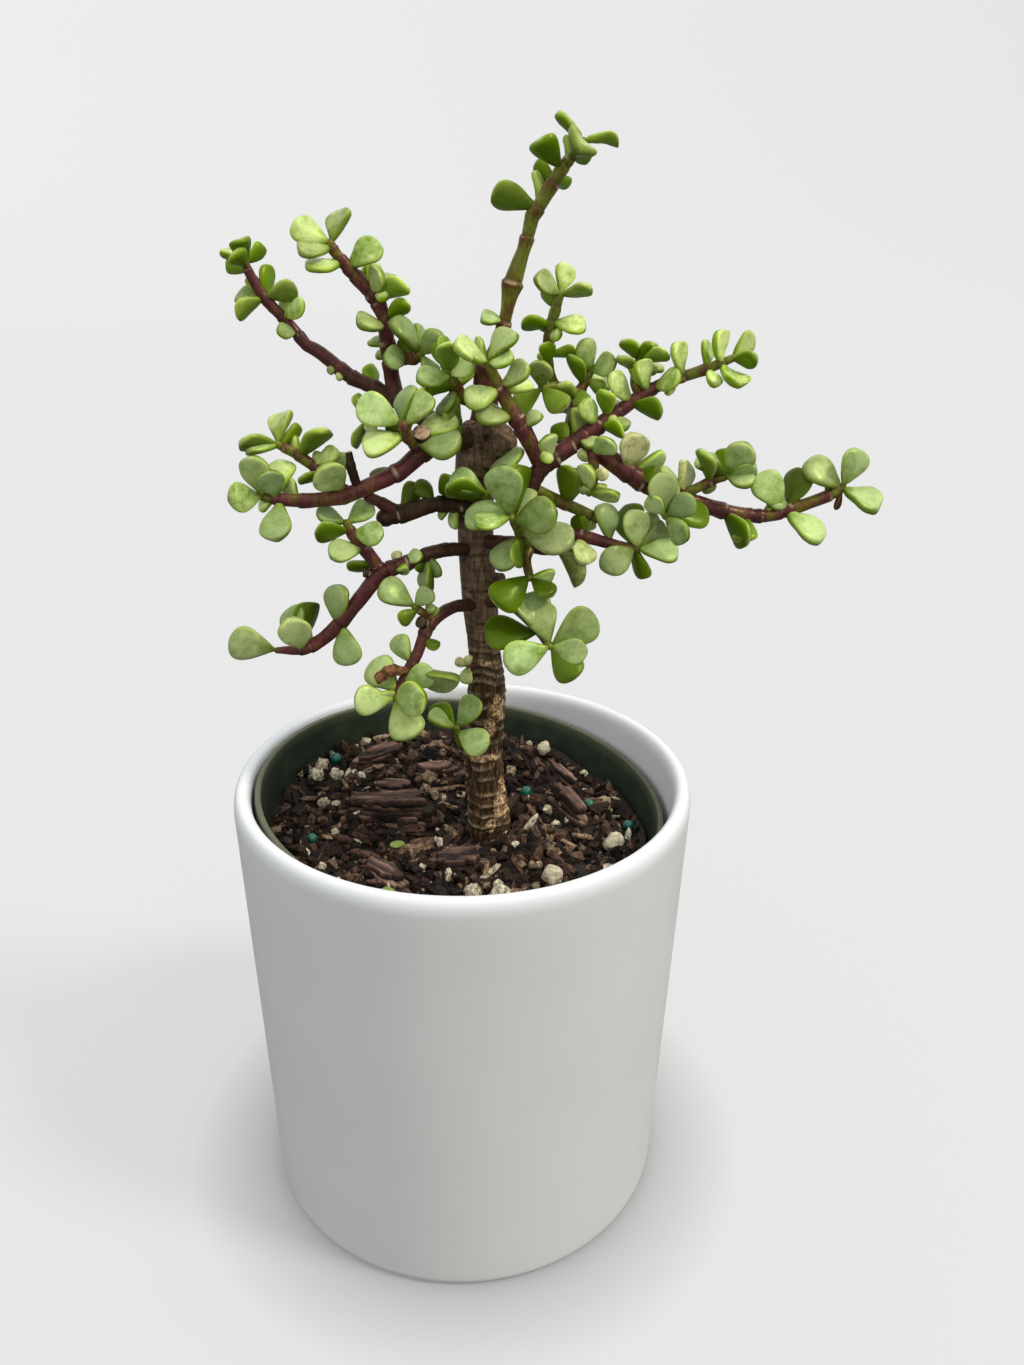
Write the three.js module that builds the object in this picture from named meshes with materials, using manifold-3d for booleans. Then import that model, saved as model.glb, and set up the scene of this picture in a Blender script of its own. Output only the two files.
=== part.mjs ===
// A small dwarf jade tree in its plastic nursery pot, which stands inside a white ceramic planter.
// Millimetres, +Z up, origin at the centre of the planter's underside. The front of the tree looks along -Y.
import * as THREE from 'three';
import { mergeVertices } from 'three/addons/utils/BufferGeometryUtils.js';
import Module from 'manifold-3d';

const wasm = await Module();
wasm.setup();

// ---- driving dimensions ----
const GAP = 0.3; // between neighbouring pieces
const UP = new THREE.Vector3(0, 0, 1);

const PLANTER_HEIGHT = 134.6;
const PLANTER_RIM_RADIUS = 65;
const PLANTER_FOOT_RADIUS = 61.2;
const PLANTER_MOUTH_RADIUS = 60.1;
const PLANTER_FLOOR = 8;
const PLANTER_WALL = 4.9;

const POT_HEIGHT = 116;
const POT_RIM_RADIUS = 58.8;
const POT_FOOT_RADIUS = 42;
const POT_WALL = 1.4;
const POT_LIP_HEIGHT = 8;
const POT_LIP_WIDTH = 1.6;
const POT_RIM_CENTRE = new THREE.Vector3(-0.5, -0.3, 128.3);
const POT_TILT_ABOUT_X = 2.34; // degrees: the pot was dropped in slightly askew
const POT_TILT_ABOUT_Y = 5.54;
const DRAIN_HOLES = 6;
const DRAIN_RADIUS = 4;
const DRAIN_CIRCLE_RADIUS = 27;
const DRAIN_SIDES = 10;

const SOIL_LEVEL = 115.5; // at the front and round the trunk
const SOIL_BANK = 6.8; // how much higher it is heaped against the back left of the pot
const SOIL_BANK_DEPTH = 52; // from the trunk to the wall of the pot
const SOIL_BANK_BEARING = 30; // degrees to the left of the back
const SOIL_RIPPLE = 1.1;
const SOIL_RIPPLE_LENGTH = 34;
const SOIL_CELLS = 10;

const TURNED_SIDES = 36;
const CORNER_STEPS = 3; // on each rounded corner of the planter
const STEM_SIDES = 5;
const TRUNK_SIDES = 10;
const STEPS_BETWEEN_POINTS = 1;
const LEAF_SIDES = 4;
const LEAF_RINGS = 3;
const LEAF_WIDTH = 0.75; // of the leaf's length
const LEAF_THICKNESS = 1.7;
const LEAF_BLUNTNESS = 0.6;
const MERGED = 0.001; // vertices closer than this are one
const POLE = 0.001; // a sphere's point this near its axis is one of its poles
const SLIVER = 0.04; // detail smaller than this is merged away after a cut

// The tree is laid out as it is seen from its front, by an eye at this place and with this gaze.
const EYE = new THREE.Vector3(0, -277, 284);
const GAZE_DOWN = 23.75; // degrees below the level
const GAZE_RIGHT = 2.8; // degrees to the right of +Y

// ---- the tree ----
// Stem and stub points: across and up in the upright plane through the trunk, then how far in front of
// that plane along the line of sight (minus is behind), then the radius there.
// Leaves: where on the stem (0 foot, 1 tip), the way the leaf points as a clock bearing in degrees
// (0 up, 90 right), how far it leans towards the eye in degrees (minus is away), its length, and how far
// its upper face is turned from the eye in degrees (0 full face, 90 edge on, 180 underside).
const TRUNK = {
  name: 'trunk',
  stem: [
    [7, 108, 0, 6.6], [7, 120, 0, 6.2], [6, 132, 0, 5.4], [5.5, 145, 0, 5.4], [6.5, 160, 0, 5.2],
    [6, 172, 0, 4.4], [5, 184, 0, 4.7], [4, 198, 0, 4.7], [3.5, 210, 0, 4.7], [3.5, 221, 0, 5.2],
    [4, 229, 0, 5.4],
  ],
  stubs: [
    [[5, 224, 0, 4.8], [8, 228, 2, 4.7], [10.5, 231, 4, 4.2]],
    [[3, 226, 0, 4.4], [3, 231, 0, 3.2], [2.5, 234, 0, 2.2]],
    [[6, 192.5, 1, 2], [10.5, 192.8, 4, 1.6]],
  ],
};

const BRANCHES = [
  {
    name: 'leader', woody: true,
    stem: [
      [5, 230, -2, 3.6], [6, 239, -1, 3.4], [6, 246, -1, 2.8], [9, 252, -1, 2.2], [11, 260, 0, 1.6],
      [12.5, 267, 0, 2.3], [15.5, 276, 0, 1.6], [17, 282, 0, 1.9],
    ],
    leaves: [[0.54, 275, 15, 6, 55], [0.54, 5, -30, 5, 50]],
  },
  {
    name: 'shoot_top',
    stem: [
      [17, 282, 0, 1.8], [19.4, 285.5, 0, 1.7], [21.6, 289, 0, 1.6], [24.2, 292.8, 0, 1.4],
      [26.6, 295.4, 0.5, 1.1], [28.4, 298, 1.5, 0.8],
    ],
    leaves: [
      [0.12, 281, 5, 11.4, 137], [0.12, 357, -35, 8.5, 75], [0.42, 305, -45, 7.5, 130],
      [0.44, 118, -70, 7, 120], [0.56, 314, 40, 9.5, 163], [0.65, 2, -50, 7, 60], [0.76, 35, 75, 11.5, 178],
      [1, 312, -10, 8.5, 100], [1, 88, -10, 8.2, 94], [0.8, 128, -60, 6.5, 135],
    ],
  },
  {
    name: 'branch_left_upper', woody: true,
    stem: [
      [1.5, 230, -5, 3], [-5.5, 233.5, -8, 2.6], [-12, 236.5, -10, 2.4], [-15.5, 239.5, -11, 2.3],
      [-17, 244.5, -12, 2.1], [-17.5, 250, -11, 2], [-18.5, 259, -10, 1.9],
    ],
    leaves: [
      [0.96, 275, 40, 9, 60], [0.92, 340, -50, 4.5, 60], [0.88, 285, -40, 6, 50],
      [0.82, 305, -65, 6, 40], [1, 65, 25, 7.5, 130],
    ],
  },
  {
    name: 'shoot_left_peak',
    stem: [
      [-18.5, 259, -10, 1.8], [-20.5, 263.5, -10, 1.9], [-25, 268.5, -10, 1.7], [-29, 273, -10, 1.4],
      [-30.5, 275.5, -10, 1.2],
    ],
    leaves: [
      [1, 295, 0, 10, 35], [1, 25, -30, 10, 55], [0.9, 260, 25, 9, 55], [0.65, 265, 15, 9.5, 65],
      [0.6, 60, 10, 10, 40], [0.45, 55, -50, 8, 65], [0.3, 0, -35, 8, 130], [0.3, 25, 40, 8, 45],
      [0.3, 50, -25, 8, 65], [0.25, 70, 25, 9.5, 130], [0.28, 95, 45, 5, 60],
    ],
  },
  {
    name: 'shoot_left_peak_side',
    stem: [[-16.5, 248.5, -11, 1.7], [-14, 249.5, -8, 1.6], [-11.5, 249.5, -6, 1.5], [-10, 250.5, -5, 1.3]],
    leaves: [
      [1, 325, 15, 11, 60], [1, 45, 30, 8.5, 10], [0.95, 0, -40, 9, 60], [1, 145, 25, 7, 45],
      [0.4, 270, 50, 8, 10], [0.7, 315, -45, 7, 145], [0.2, 15, -45, 4, 45],
    ],
  },
  {
    name: 'branch_far_left', woody: true,
    stem: [
      [-14.5, 238, -11, 2], [-20.5, 242, -14, 2], [-27, 245, -16, 1.9], [-34, 250.5, -18, 1.8],
      [-37.5, 252.5, -19, 1.7],
    ],
    leaves: [
      [0.62, 230, 25, 3, 20], [0.55, 235, 25, 3, 20], [0.3, 355, -35, 7, 155], [0.5, 345, -30, 2.5, 60],
    ],
  },
  {
    name: 'shoot_far_left',
    stem: [
      [-37.5, 252.5, -19, 1.6], [-42, 258, -20, 1.5], [-47, 263.5, -20, 1.4], [-50, 269, -20, 1.2],
      [-50.5, 271, -20, 0.9],
    ],
    leaves: [
      [1, 345, 45, 8, 170], [1, 50, -30, 7, 125], [1, 295, -35, 7.5, 70], [0.9, 315, 60, 7.5, 170],
      [0.8, 265, -45, 7, 120], [0.5, 10, -35, 9, 130], [0.5, 80, 15, 9, 135], [0.52, 325, -30, 6, 125],
      [0.5, 270, -30, 8, 60], [0.5, 235, 15, 9, 125], [0.28, 55, 35, 8, 50], [0.28, 315, -35, 6, 60],
      [0.28, 25, -35, 6.5, 60], [0.12, 280, 40, 6, 40],
    ],
  },
  {
    name: 'branch_left', woody: true,
    stem: [
      [1.5, 230, 3, 3.2], [-4, 229.6, 6, 2.8], [-8.5, 228, 8, 2.6], [-11.5, 225.3, 9, 2.4],
      [-16, 221.6, 10, 2.2], [-23.5, 218, 12, 2.1], [-30.5, 215, 12, 2],
    ],
    stubs: [
      [[-9, 226, 7, 2.3], [-10, 229.5, 10, 2.3], [-10, 231.5, 12.5, 2.2]],
      [[-26.5, 217, 12, 1.1], [-28, 222, 13, 1.2], [-28.5, 226.5, 13, 0.8]],
      [[-10, 227, 8.5, 1.9], [-8.3, 224.8, 8.5, 1.4]],
    ],
    leaves: [[0.67, 262, -28, 8, 130]],
  },
  {
    name: 'shoot_left_rise',
    stem: [
      [-10, 226.5, 8, 1.7], [-12, 229, 11, 1.7], [-14, 231, 13, 1.6], [-15, 233.5, 14, 1.3],
      [-19.5, 235.5, 12, 0.8], [-23, 235, 11, 0.6],
    ],
    leaves: [
      [0.6, 295, 0, 11.5, 10], [0.55, 45, 5, 10, 35], [0.6, 15, -25, 10, 65], [0.4, 243, 5, 11, 40],
      [0.5, 265, -45, 6, 120], [0.18, 90, 25, 12, 48], [0.25, 65, -18, 12.5, 55], [1, 330, -5, 6.5, 120],
      [1, 210, 0, 8, 115], [1, 165, 35, 4, 20], [0.4, 20, -22, 12.5, 70],
    ],
  },
  {
    name: 'shoot_left_back',
    stem: [[-29, 215.5, 12, 1.6], [-34, 220, 8, 1.5], [-41, 225.5, 6, 1.4], [-46.5, 228.5, 6, 1]],
    leaves: [
      [1, 272, 18, 9.5, 120], [0.97, 260, 18, 8.5, 70], [1, 16, -28, 9.5, 50], [0.95, 50, -33, 8, 120],
      [0.67, 42, 23, 10.5, 125], [0.67, 335, -37, 6, 55], [0.5, 57, 20, 7.5, 52], [0.5, 25, -12, 4, 52],
      [0.4, 253, 28, 7, 110], [0.2, 0, -37, 9, 20], [0.08, 315, 40, 11, 10],
    ],
  },
  {
    name: 'shoot_left_tip',
    stem: [[-30.5, 215, 12, 2], [-40, 214, 12, 1.8], [-48, 214.5, 13, 1.4], [-51, 215, 13, 1.1]],
    leaves: [
      [1, 265, 32, 9.5, 20], [1, 347, 25, 11, 38], [0.65, 345, 35, 9, 10], [0.65, 3, -26, 11, 33],
      [0.6, 184, 22, 11, 30], [0.68, 230, -30, 5, 50], [0.42, 330, -30, 6.5, 45],
    ],
  },
  {
    name: 'stub_left', woody: true,
    stem: [[2, 213, 3, 2.3], [-7, 213, 5, 2.1], [-14, 211, 6, 2.4], [-20, 209.5, 6, 2.3]],
    leaves: [
      [0.8, 37, -15, 9.5, 128], [0.35, 330, -10, 7.5, 150], [0.15, 230, -35, 6, 60],
      [0.1, 202, -25, 7, 65],
    ],
  },
  {
    name: 'twig_left_link', woody: true,
    stem: [[-15.5, 210.5, 6, 1.7], [-21, 213.5, 7, 1.5], [-24, 215, 8, 1.4]],
  },
  {
    name: 'branch_low_left', woody: true,
    stem: [[1, 201, 3, 1.8], [-6, 200.5, 7, 1.9], [-14, 197.5, 9, 1.9], [-22, 194.5, 10, 2.1]],
    stubs: [[[-22.5, 194, 10, 1.1], [-26, 194.5, 11, 1.2]]],
    leaves: [
      [0.88, 80, 10, 5, 70], [0.78, 345, -15, 4, 30], [0.72, 58, 23, 5.5, 30], [0.45, 215, 0, 5.5, 115],
      [0.45, 158, 12, 6.5, 63], [0.45, 182, 0, 9.5, 67],
    ],
  },
  {
    name: 'shoot_low_left_rise',
    stem: [[-22, 195, 10, 1.9], [-23.5, 198, 10, 1.7], [-28.5, 205, 11, 1.5], [-30, 208, 11, 1.1]],
    leaves: [
      [1, 290, -10, 8, 45], [1, 53, -23, 8.5, 32], [0.8, 259, 20, 9, 133], [0.7, 94, 20, 8.5, 15],
      [0.5, 251, 22, 9.5, 37], [0.25, 261, -30, 8, 117],
    ],
  },
  {
    name: 'shoot_low_left',
    stem: [
      [-22, 194.5, 10, 2.1], [-28.5, 186, 11, 2], [-36, 177.5, 12, 1.9], [-43, 173, 13, 1.6],
      [-50.5, 172.5, 13, 0.9],
    ],
    leaves: [
      [1, 283, 0, 12.5, 20], [0.78, 340, 40, 11.5, 5], [0.78, 347, -10, 12, 40], [0.77, 8, -10, 12.5, 125],
      [0.68, 342, -18, 5.5, 65], [0.4, 165, 0, 11.5, 30], [0.42, 358, 10, 10.5, 47],
    ],
  },
  {
    name: 'branch_low_front', woody: true,
    stem: [[2.5, 185.5, 3, 1.8], [-3, 184.5, 7, 1.7], [-9, 180, 12, 1.8], [-12.5, 171.5, 16, 1.5]],
    stubs: [[[-9.5, 180, 12, 1.6], [-11.5, 180.5, 14, 1.7]]],
    leaves: [[0.65, 22, -8, 4.5, 45], [0.85, 115, 15, 5, 130]],
  },
  {
    name: 'shoot_low_front_side',
    stem: [[-8, 181.5, 11, 1.3], [-10.5, 183, 13, 1.1], [-13, 185, 14, 0.9]],
    leaves: [[1, 302, 8, 10.5, 35], [1, 45, 20, 6.5, 10], [0.85, 228, 20, 6, 145], [0.45, 50, 15, 3.5, 20]],
  },
  {
    name: 'shoot_low_front',
    stem: [[-12.5, 171.5, 16, 1.5], [-16.5, 163.5, 19, 1.3], [-19, 157.5, 21, 1]],
    stubs: [[[-15.5, 166, 19, 0.8], [-19, 166.5, 21, 1.6], [-24, 163.5, 22, 1.3]]],
    leaves: [
      [0.2, 330, -12, 8.5, 37], [0.8, 318, -22, 11.5, 8], [0.75, 245, 0, 7, 50], [0.6, 64, 10, 9, 18],
      [0.3, 102, -5, 13.5, 66], [1, 268, 15, 11, 5], [1, 82, 52, 12, 15], [1, 157, 25, 11.8, 5],
    ],
  },
  {
    name: 'sprout_base',
    stem: [[1.5, 142, 4, 1.3], [-1, 144, 8, 1.2], [-2, 148.5, 11, 0.9]],
    leaves: [[1, 38, 0, 10, 42], [1, 291, 5, 8.5, 50], [0.85, 117, 25, 10, 5], [1, 308, -25, 9.5, 165]],
  },
  {
    name: 'sprout_pale',
    stem: [[3.5, 167.5, 4, 0.9], [1.5, 167.5, 6, 0.8]],
    leaves: [[1, 290, 10, 4, 48], [1, 0, 20, 3, 45], [1, 193, 10, 5, 20]],
  },
  {
    name: 'branch_front',
    stem: [[6.5, 186.5, 3, 1.8], [13, 185.5, 9, 1.6], [20, 178.5, 19, 1.3], [24, 173.2, 25, 1]],
    leaves: [
      [1, 341, -15, 12, 5], [0.9, 332, -15, 13.5, 30], [1, 55, 0, 13.8, 10], [0.73, 269, 0, 14, 145],
      [1, 249, 15, 12.5, 5], [1, 100, 15, 9.5, 8], [1, 139, 10, 10.5, 172],
    ],
  },
  {
    name: 'branch_right_mid', woody: true,
    stem: [
      [6.5, 203, 3, 1.9], [15, 202.5, 8, 1.9], [23, 201.5, 9, 2.1], [30, 204.5, 9, 1.8],
      [39, 202.5, 11, 1.5],
    ],
    leaves: [
      [0.77, 172, 27, 8.5, 30], [0.83, 330, -38, 7, 150], [1, 352, -12, 10.5, 38], [0.57, 148, 0, 12, 113],
      [0.6, 144, -12, 7, 128],
    ],
  },
  {
    name: 'shoot_right_mid',
    stem: [[39, 202.5, 11, 1.4], [43, 201.5, 12, 1.3], [46.5, 201, 13, 1.1]],
    leaves: [
      [1, 355, 15, 10, 28], [1, 24, -10, 10, 42], [1, 53, -26, 10, 30], [0.85, 350, -33, 13, 145],
      [1, 100, 8, 10.5, 40], [0.9, 238, 28, 10.5, 5], [0.95, 176, -35, 9.5, 130],
    ],
  },
  {
    name: 'shoot_centre',
    stem: [[17.5, 202, 9, 1.5], [15.5, 205, 13, 1.4], [13, 209.5, 18, 1]],
    leaves: [
      [1, 347, 18, 13, 25], [1, 277, -26, 13, 35], [1, 261, 18, 9.5, 48], [0.95, 5, -45, 7, 65],
      [0.9, 78, 28, 12, 5], [0.6, 103, 20, 14.5, 32], [0.92, 28, -33, 10, 40], [1, 12, -28, 14, 110],
      [0.5, 215, 18, 11, 30], [0.5, 186, 27, 9, 108],
    ],
  },
  {
    name: 'shoot_centre_drop',
    stem: [[18, 201.5, 9, 1.5], [17, 198, 12, 1.3], [18, 193, 16, 1]],
    leaves: [[0.95, 230, 30, 12, 172], [1, 78, -35, 7, 48], [1, 124, 30, 8, 148]],
  },
  {
    name: 'shoot_trunk_front',
    stem: [[4.5, 212.5, 4, 1.3], [6, 214.5, 9, 1.1], [6.5, 216, 11, 0.9]],
    leaves: [[1, 290, 8, 10, 32], [1, 274, 27, 11, 117], [0.6, 275, -22, 13, 108], [1, 37, -20, 14.5, 60]],
  },
  {
    name: 'branch_right_up', woody: true,
    stem: [
      [6, 210, 3, 2.4], [15.5, 214.5, 7, 2.3], [20, 222, 7, 2.3], [28, 228.5, 4, 2.2],
      [35, 233.5, 2, 2.1], [44.5, 240.5, -1, 1.7],
    ],
    leaves: [
      [0.63, 4, -28, 9, 42], [0.78, 334, 28, 8, 49], [0.85, 345, 32, 8, 125], [0.88, 337, -55, 7, 45],
      [0.96, 318, 24, 9.5, 45], [0.96, 110, 27, 9, 125], [0.79, 104, 29, 8, 125], [0.87, 125, 27, 5.5, 50],
      [0.58, 329, -38, 7.5, 140], [0.47, 353, 40, 8, 40], [0.5, 275, 55, 6, 30], [0.65, 112, 33, 6.5, 50],
      [0.89, 211, 40, 4, 50],
    ],
  },
  {
    name: 'shoot_right_up',
    stem: [[44.5, 240.5, -1, 1.7], [51, 244, -3, 1.5], [60, 247, -3, 1.4], [67.5, 250, -3, 1]],
    leaves: [
      [0.12, 336, 30, 9, 50], [0.05, 340, -30, 9, 70], [0.2, 70, 31, 8.5, 37], [0.36, 170, -40, 4, 50],
      [0.5, 344, 31, 9.5, 60], [0.72, 354, -28, 7.5, 69], [0.72, 156, 42, 6.5, 52], [0.87, 351, 31, 9, 60],
      [0.87, 145, 36, 9.5, 60], [1, 36, -36, 8.5, 48], [1, 95, 35, 7, 135],
    ],
  },
  {
    name: 'shoot_right_up_twig',
    stem: [[45, 241, -1, 1.4], [43.5, 243.5, -3, 1.3], [43.5, 246.5, -5, 1.2], [44, 249.5, -6, 1]],
    leaves: [
      [1, 320, 30, 7, 120], [1, 354, -50, 7, 54], [1, 50, 34, 6.5, 125], [0.95, 77, 24, 8.5, 113],
      [0.7, 313, 40, 7, 116], [0.65, 81, -35, 6, 60], [0.8, 90, -38, 8, 67],
    ],
  },
  {
    name: 'shoot_crown',
    stem: [[20.5, 223, 7, 2.1], [16, 231.5, 10, 2.1], [11.5, 239, 10, 1.8], [6.5, 249, 10, 1.1]],
    leaves: [
      [1, 42, 18, 9.5, 48], [1, 297, 27, 9.5, 60], [1, 337, -44, 7, 64], [0.98, 75, 42, 7.5, 50],
      [0.98, 292, 36, 6.5, 62], [0.8, 59, 18, 9, 48], [0.78, 80, -37, 9, 50], [0.76, 260, 24, 9.5, 50],
      [0.52, 271, 20, 10, 50], [0.36, 42, 15, 6, 50],
    ],
  },
  {
    name: 'shoot_crown_left',
    stem: [[5, 239, -1, 1.8], [0, 240.5, 1, 1.8], [-2, 244, 4, 1.6], [-3, 246.5, 5, 1.2]],
    leaves: [
      [1, 0, 45, 8.5, 172], [0.85, 62, 35, 7, 40], [0.8, 270, 31, 9, 45], [0.55, 262, 33, 9, 115],
      [0.5, 36, -22, 6, 70], [1, 358, -26, 9, 118], [1, 332, -32, 8, 127], [1, 335, -50, 8, 125],
      [0.45, 183, 29, 11, 119], [0.5, 211, 37, 8.5, 60],
    ],
  },
  {
    name: 'branch_back',
    stem: [[26, 226.5, 4, 1.6], [27, 231.5, 0, 1.6], [29, 240, -7, 1.5], [32, 246.5, -10, 1.1]],
    leaves: [
      [1, 342, 30, 9.5, 40], [1, 70, 33, 8.5, 22], [0.85, 326, 36, 9, 118], [0.85, 347, -35, 7, 114],
      [0.68, 304, 33, 7, 136], [0.78, 176, 55, 7, 168], [0.92, 133, 28, 6, 140], [0.62, 238, -55, 6, 140],
      [0.6, 254, -45, 6.5, 60], [0.9, 102, -40, 8, 50], [0.6, 110, -40, 8, 45],
    ],
  },
  {
    name: 'shoot_back_left',
    stem: [[29.5, 241.5, -8, 1.3], [24, 243, -6, 1.2], [20, 242.5, -3, 1]],
    leaves: [[1, 358, 38, 8.5, 12], [1, 126, 32, 9, 155], [1, 234, 25, 9.5, 135]],
  },
  {
    name: 'shoot_back_rise',
    stem: [
      [27, 242.5, -8, 1.3], [23.5, 243.5, -10, 1.2], [21.5, 249, -9, 1.3], [22, 257, -9, 1.5],
      [24, 264.5, -9, 1.1],
    ],
    leaves: [
      [1, 303, 27, 8.5, 42], [0.9, 315, -32, 6.5, 125], [1, 11, -22, 8, 36], [1, 81, 22, 8.5, 121],
      [0.77, 278, 21, 8, 123], [0.7, 325, -40, 4.5, 60], [0.77, 90, 26, 9, 55], [0.68, 72, 55, 4.5, 40],
      [0.55, 86, -21, 7.5, 110], [0.48, 0, 38, 6, 155], [0.48, 315, -37, 4, 60],
    ],
  },
  {
    name: 'shoot_right_inner',
    stem: [[32, 230.5, 3, 1.5], [33.5, 226.5, 7, 1.4], [34, 220, 10, 1.2], [33, 216, 11, 0.9]],
    leaves: [
      [1, 356, 28, 8, 52], [1, 98, 22, 8, 66], [1, 305, 50, 3.5, 40], [0.8, 110, -50, 5, 50],
      [0.6, 95, 48, 4.5, 20], [0.5, 247, -38, 5, 55], [0.42, 291, -45, 5, 55], [0.33, 59, 42, 8, 20],
    ],
  },
  {
    name: 'twig_right_olive', woody: true,
    stem: [[18.5, 217, 7, 1.7], [26, 213.5, 5, 1.6], [33, 210.5, 5, 1.4], [35.5, 209, 6, 1.1]],
    leaves: [[0.36, 8, 26, 10.5, 148], [0.4, 13, -24, 10, 125], [0.85, 212, -40, 4.5, 55]],
  },
  {
    name: 'branch_right_long', woody: true,
    stem: [
      [31, 230, 3, 2.2], [38.5, 224.5, 6, 2.6], [47, 219, 7, 2.6], [56, 215, 7, 2.3],
      [64, 212.5, 6, 2.1],
    ],
    leaves: [
      [0.38, 9, 26, 10.5, 38], [0.4, 61, -26, 10.5, 60], [0.42, 78, 18, 6.5, 122],
      [0.45, 104, -27, 7, 117], [0.78, 9, -15, 10, 66],
    ],
  },
  {
    name: 'shoot_right_long_front',
    stem: [[52.5, 216.5, 9, 1.4], [52.5, 213, 13, 1.3], [53.5, 210, 16, 1.1]],
    leaves: [
      [0.9, 352, 23, 10.5, 10], [0.7, 5, -38, 12, 50], [1, 317, 29, 7, 36], [1, 57, 16, 8.5, 12],
      [0.9, 88, -38, 13, 142], [1, 143, 34, 9, 40],
    ],
  },
  {
    name: 'shoot_right_long_rise',
    stem: [[56.5, 215, 7, 1.4], [64.5, 219, 6, 1.2], [69, 220.5, 6, 0.9]],
    leaves: [
      [1, 30, 29, 10.5, 5], [1, 297, 22, 8, 128], [0.95, 306, -24, 9.5, 34], [0.97, 345, -32, 8, 127],
      [1, 65, 25, 8, 52], [0.95, 107, 30, 8, 46], [0.5, 348, 29, 9.5, 116], [0.6, 212, -38, 5, 55],
    ],
  },
  {
    name: 'shoot_right_long',
    stem: [[64, 212.5, 6, 2.1], [72, 210.5, 5, 2], [80.5, 210, 5, 1.7], [89, 212.5, 4, 1.7]],
    leaves: [
      [0.83, 322, 10, 12, 34], [0.87, 16, -14, 11.5, 145], [0.9, 295, 22, 6.5, 42],
      [0.85, 132, 14, 12.5, 48], [0.6, 48, -28, 4, 60], [0.2, 146, 14, 11, 131], [0.45, 188, 38, 8.5, 158],
    ],
  },
  {
    name: 'shoot_right_tip',
    stem: [[89, 212.5, 4, 1.7], [96.5, 215.5, 4, 1.5], [99.5, 217.5, 4, 1.2]],
    leaves: [
      [0.95, 307, 15, 11.5, 44], [1, 21, 8, 10.5, 32], [1, 117, 17, 11, 58], [1, 190, 15, 6, 70],
      [0.45, 12, -38, 6.5, 50],
    ],
  },
];

// What lies on the soil: x, y, length, width, height, and the turn about Z in degrees. The last value of a
// bark chip is how many degrees its far end rises.
const BARK_CHIPS = [
  [-23, 5, 33, 12, 9, -8, 0], [-8, 27, 18, 5, 4, 3, 0], [-27.5, 34.5, 22, 7, 4.5, 34, 6],
  [-22, 17, 13, 7, 4, -6, 0], [31, 8.5, 22, 7.5, 7, -62, -8], [31.5, 31, 18, 3.5, 3, -62, 0],
  [-21.5, -26, 20, 7.5, 5, -48, 0], [-2, -19.5, 17, 10, 5, -12, 4],
];
const PUMICE_STONES = [[26.5, 42, 5.4, 4.8, 5.6, 20], [43, -11, 7, 6, 6.5, 40], [24, -27, 7, 6, 6.5, 10]];
// Fertiliser beads: x, y.
const BEADS = [[38, 10], [19.5, 20], [-40.5, 31]];
const BEAD_RADIUS = 1.8;

// ---- solids ----
function solidOf(geometry) {
  const bare = geometry.clone();
  bare.deleteAttribute('normal');
  bare.deleteAttribute('uv');
  const merged = mergeVertices(bare, MERGED);
  return new wasm.Manifold(new wasm.Mesh({
    numProp: 3,
    vertProperties: Float32Array.from(merged.attributes.position.array),
    triVerts: Uint32Array.from(merged.index.array),
  }));
}

function geometryOf(solid) {
  const { vertProperties, triVerts } = solid.getMesh();
  const geometry = new THREE.BufferGeometry();
  geometry.setAttribute('position', new THREE.BufferAttribute(Float32Array.from(vertProperties), 3));
  geometry.setIndex(new THREE.BufferAttribute(Uint32Array.from(triVerts), 1));
  geometry.computeVertexNormals();
  return geometry;
}

// Merging first drops any part that hangs on by less than a vertex.
function largestPiece(solid) {
  const pieces = solidOf(geometryOf(solid)).decompose();
  pieces.sort((one, other) => other.volume() - one.volume());
  return pieces[0];
}

function boxesMeet(one, other) {
  const a = one.boundingBox();
  const b = other.boundingBox();
  return [0, 1, 2].every((axis) => a.min[axis] < b.max[axis] && b.min[axis] < a.max[axis]);
}

function cutBy(solid, cutters) {
  return cutters
    .filter((cutter) => boxesMeet(solid, cutter))
    .reduce((rest, cutter) => rest.subtract(cutter), solid);
}

function joined(solids) {
  return solids.reduce((whole, solid) => whole.add(solid));
}

// ---- how the tree is seen from its front ----
const gaze = new THREE.Vector3(
  Math.sin(THREE.MathUtils.degToRad(GAZE_RIGHT)),
  Math.cos(THREE.MathUtils.degToRad(GAZE_RIGHT)),
  -Math.tan(THREE.MathUtils.degToRad(GAZE_DOWN)),
).normalize();
const gazeRight = gaze.clone().cross(UP).normalize();
const gazeUp = gazeRight.clone().cross(gaze);

function place([across, up, front]) {
  return new THREE.Vector3(across, 0, up).lerp(EYE, front / -EYE.y);
}

function squareTo(vector, axis) {
  return vector.clone().addScaledVector(axis, -vector.dot(axis)).normalize();
}

// ---- stems ----
function stemCurve(points) {
  return new THREE.CatmullRomCurve3(points.map(place), false, 'catmullrom');
}

function radiusAt(points, t) {
  const along = t * (points.length - 1);
  const from = Math.min(Math.floor(along), points.length - 2);
  return THREE.MathUtils.lerp(points[from][3], points[from + 1][3], along - from);
}

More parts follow.
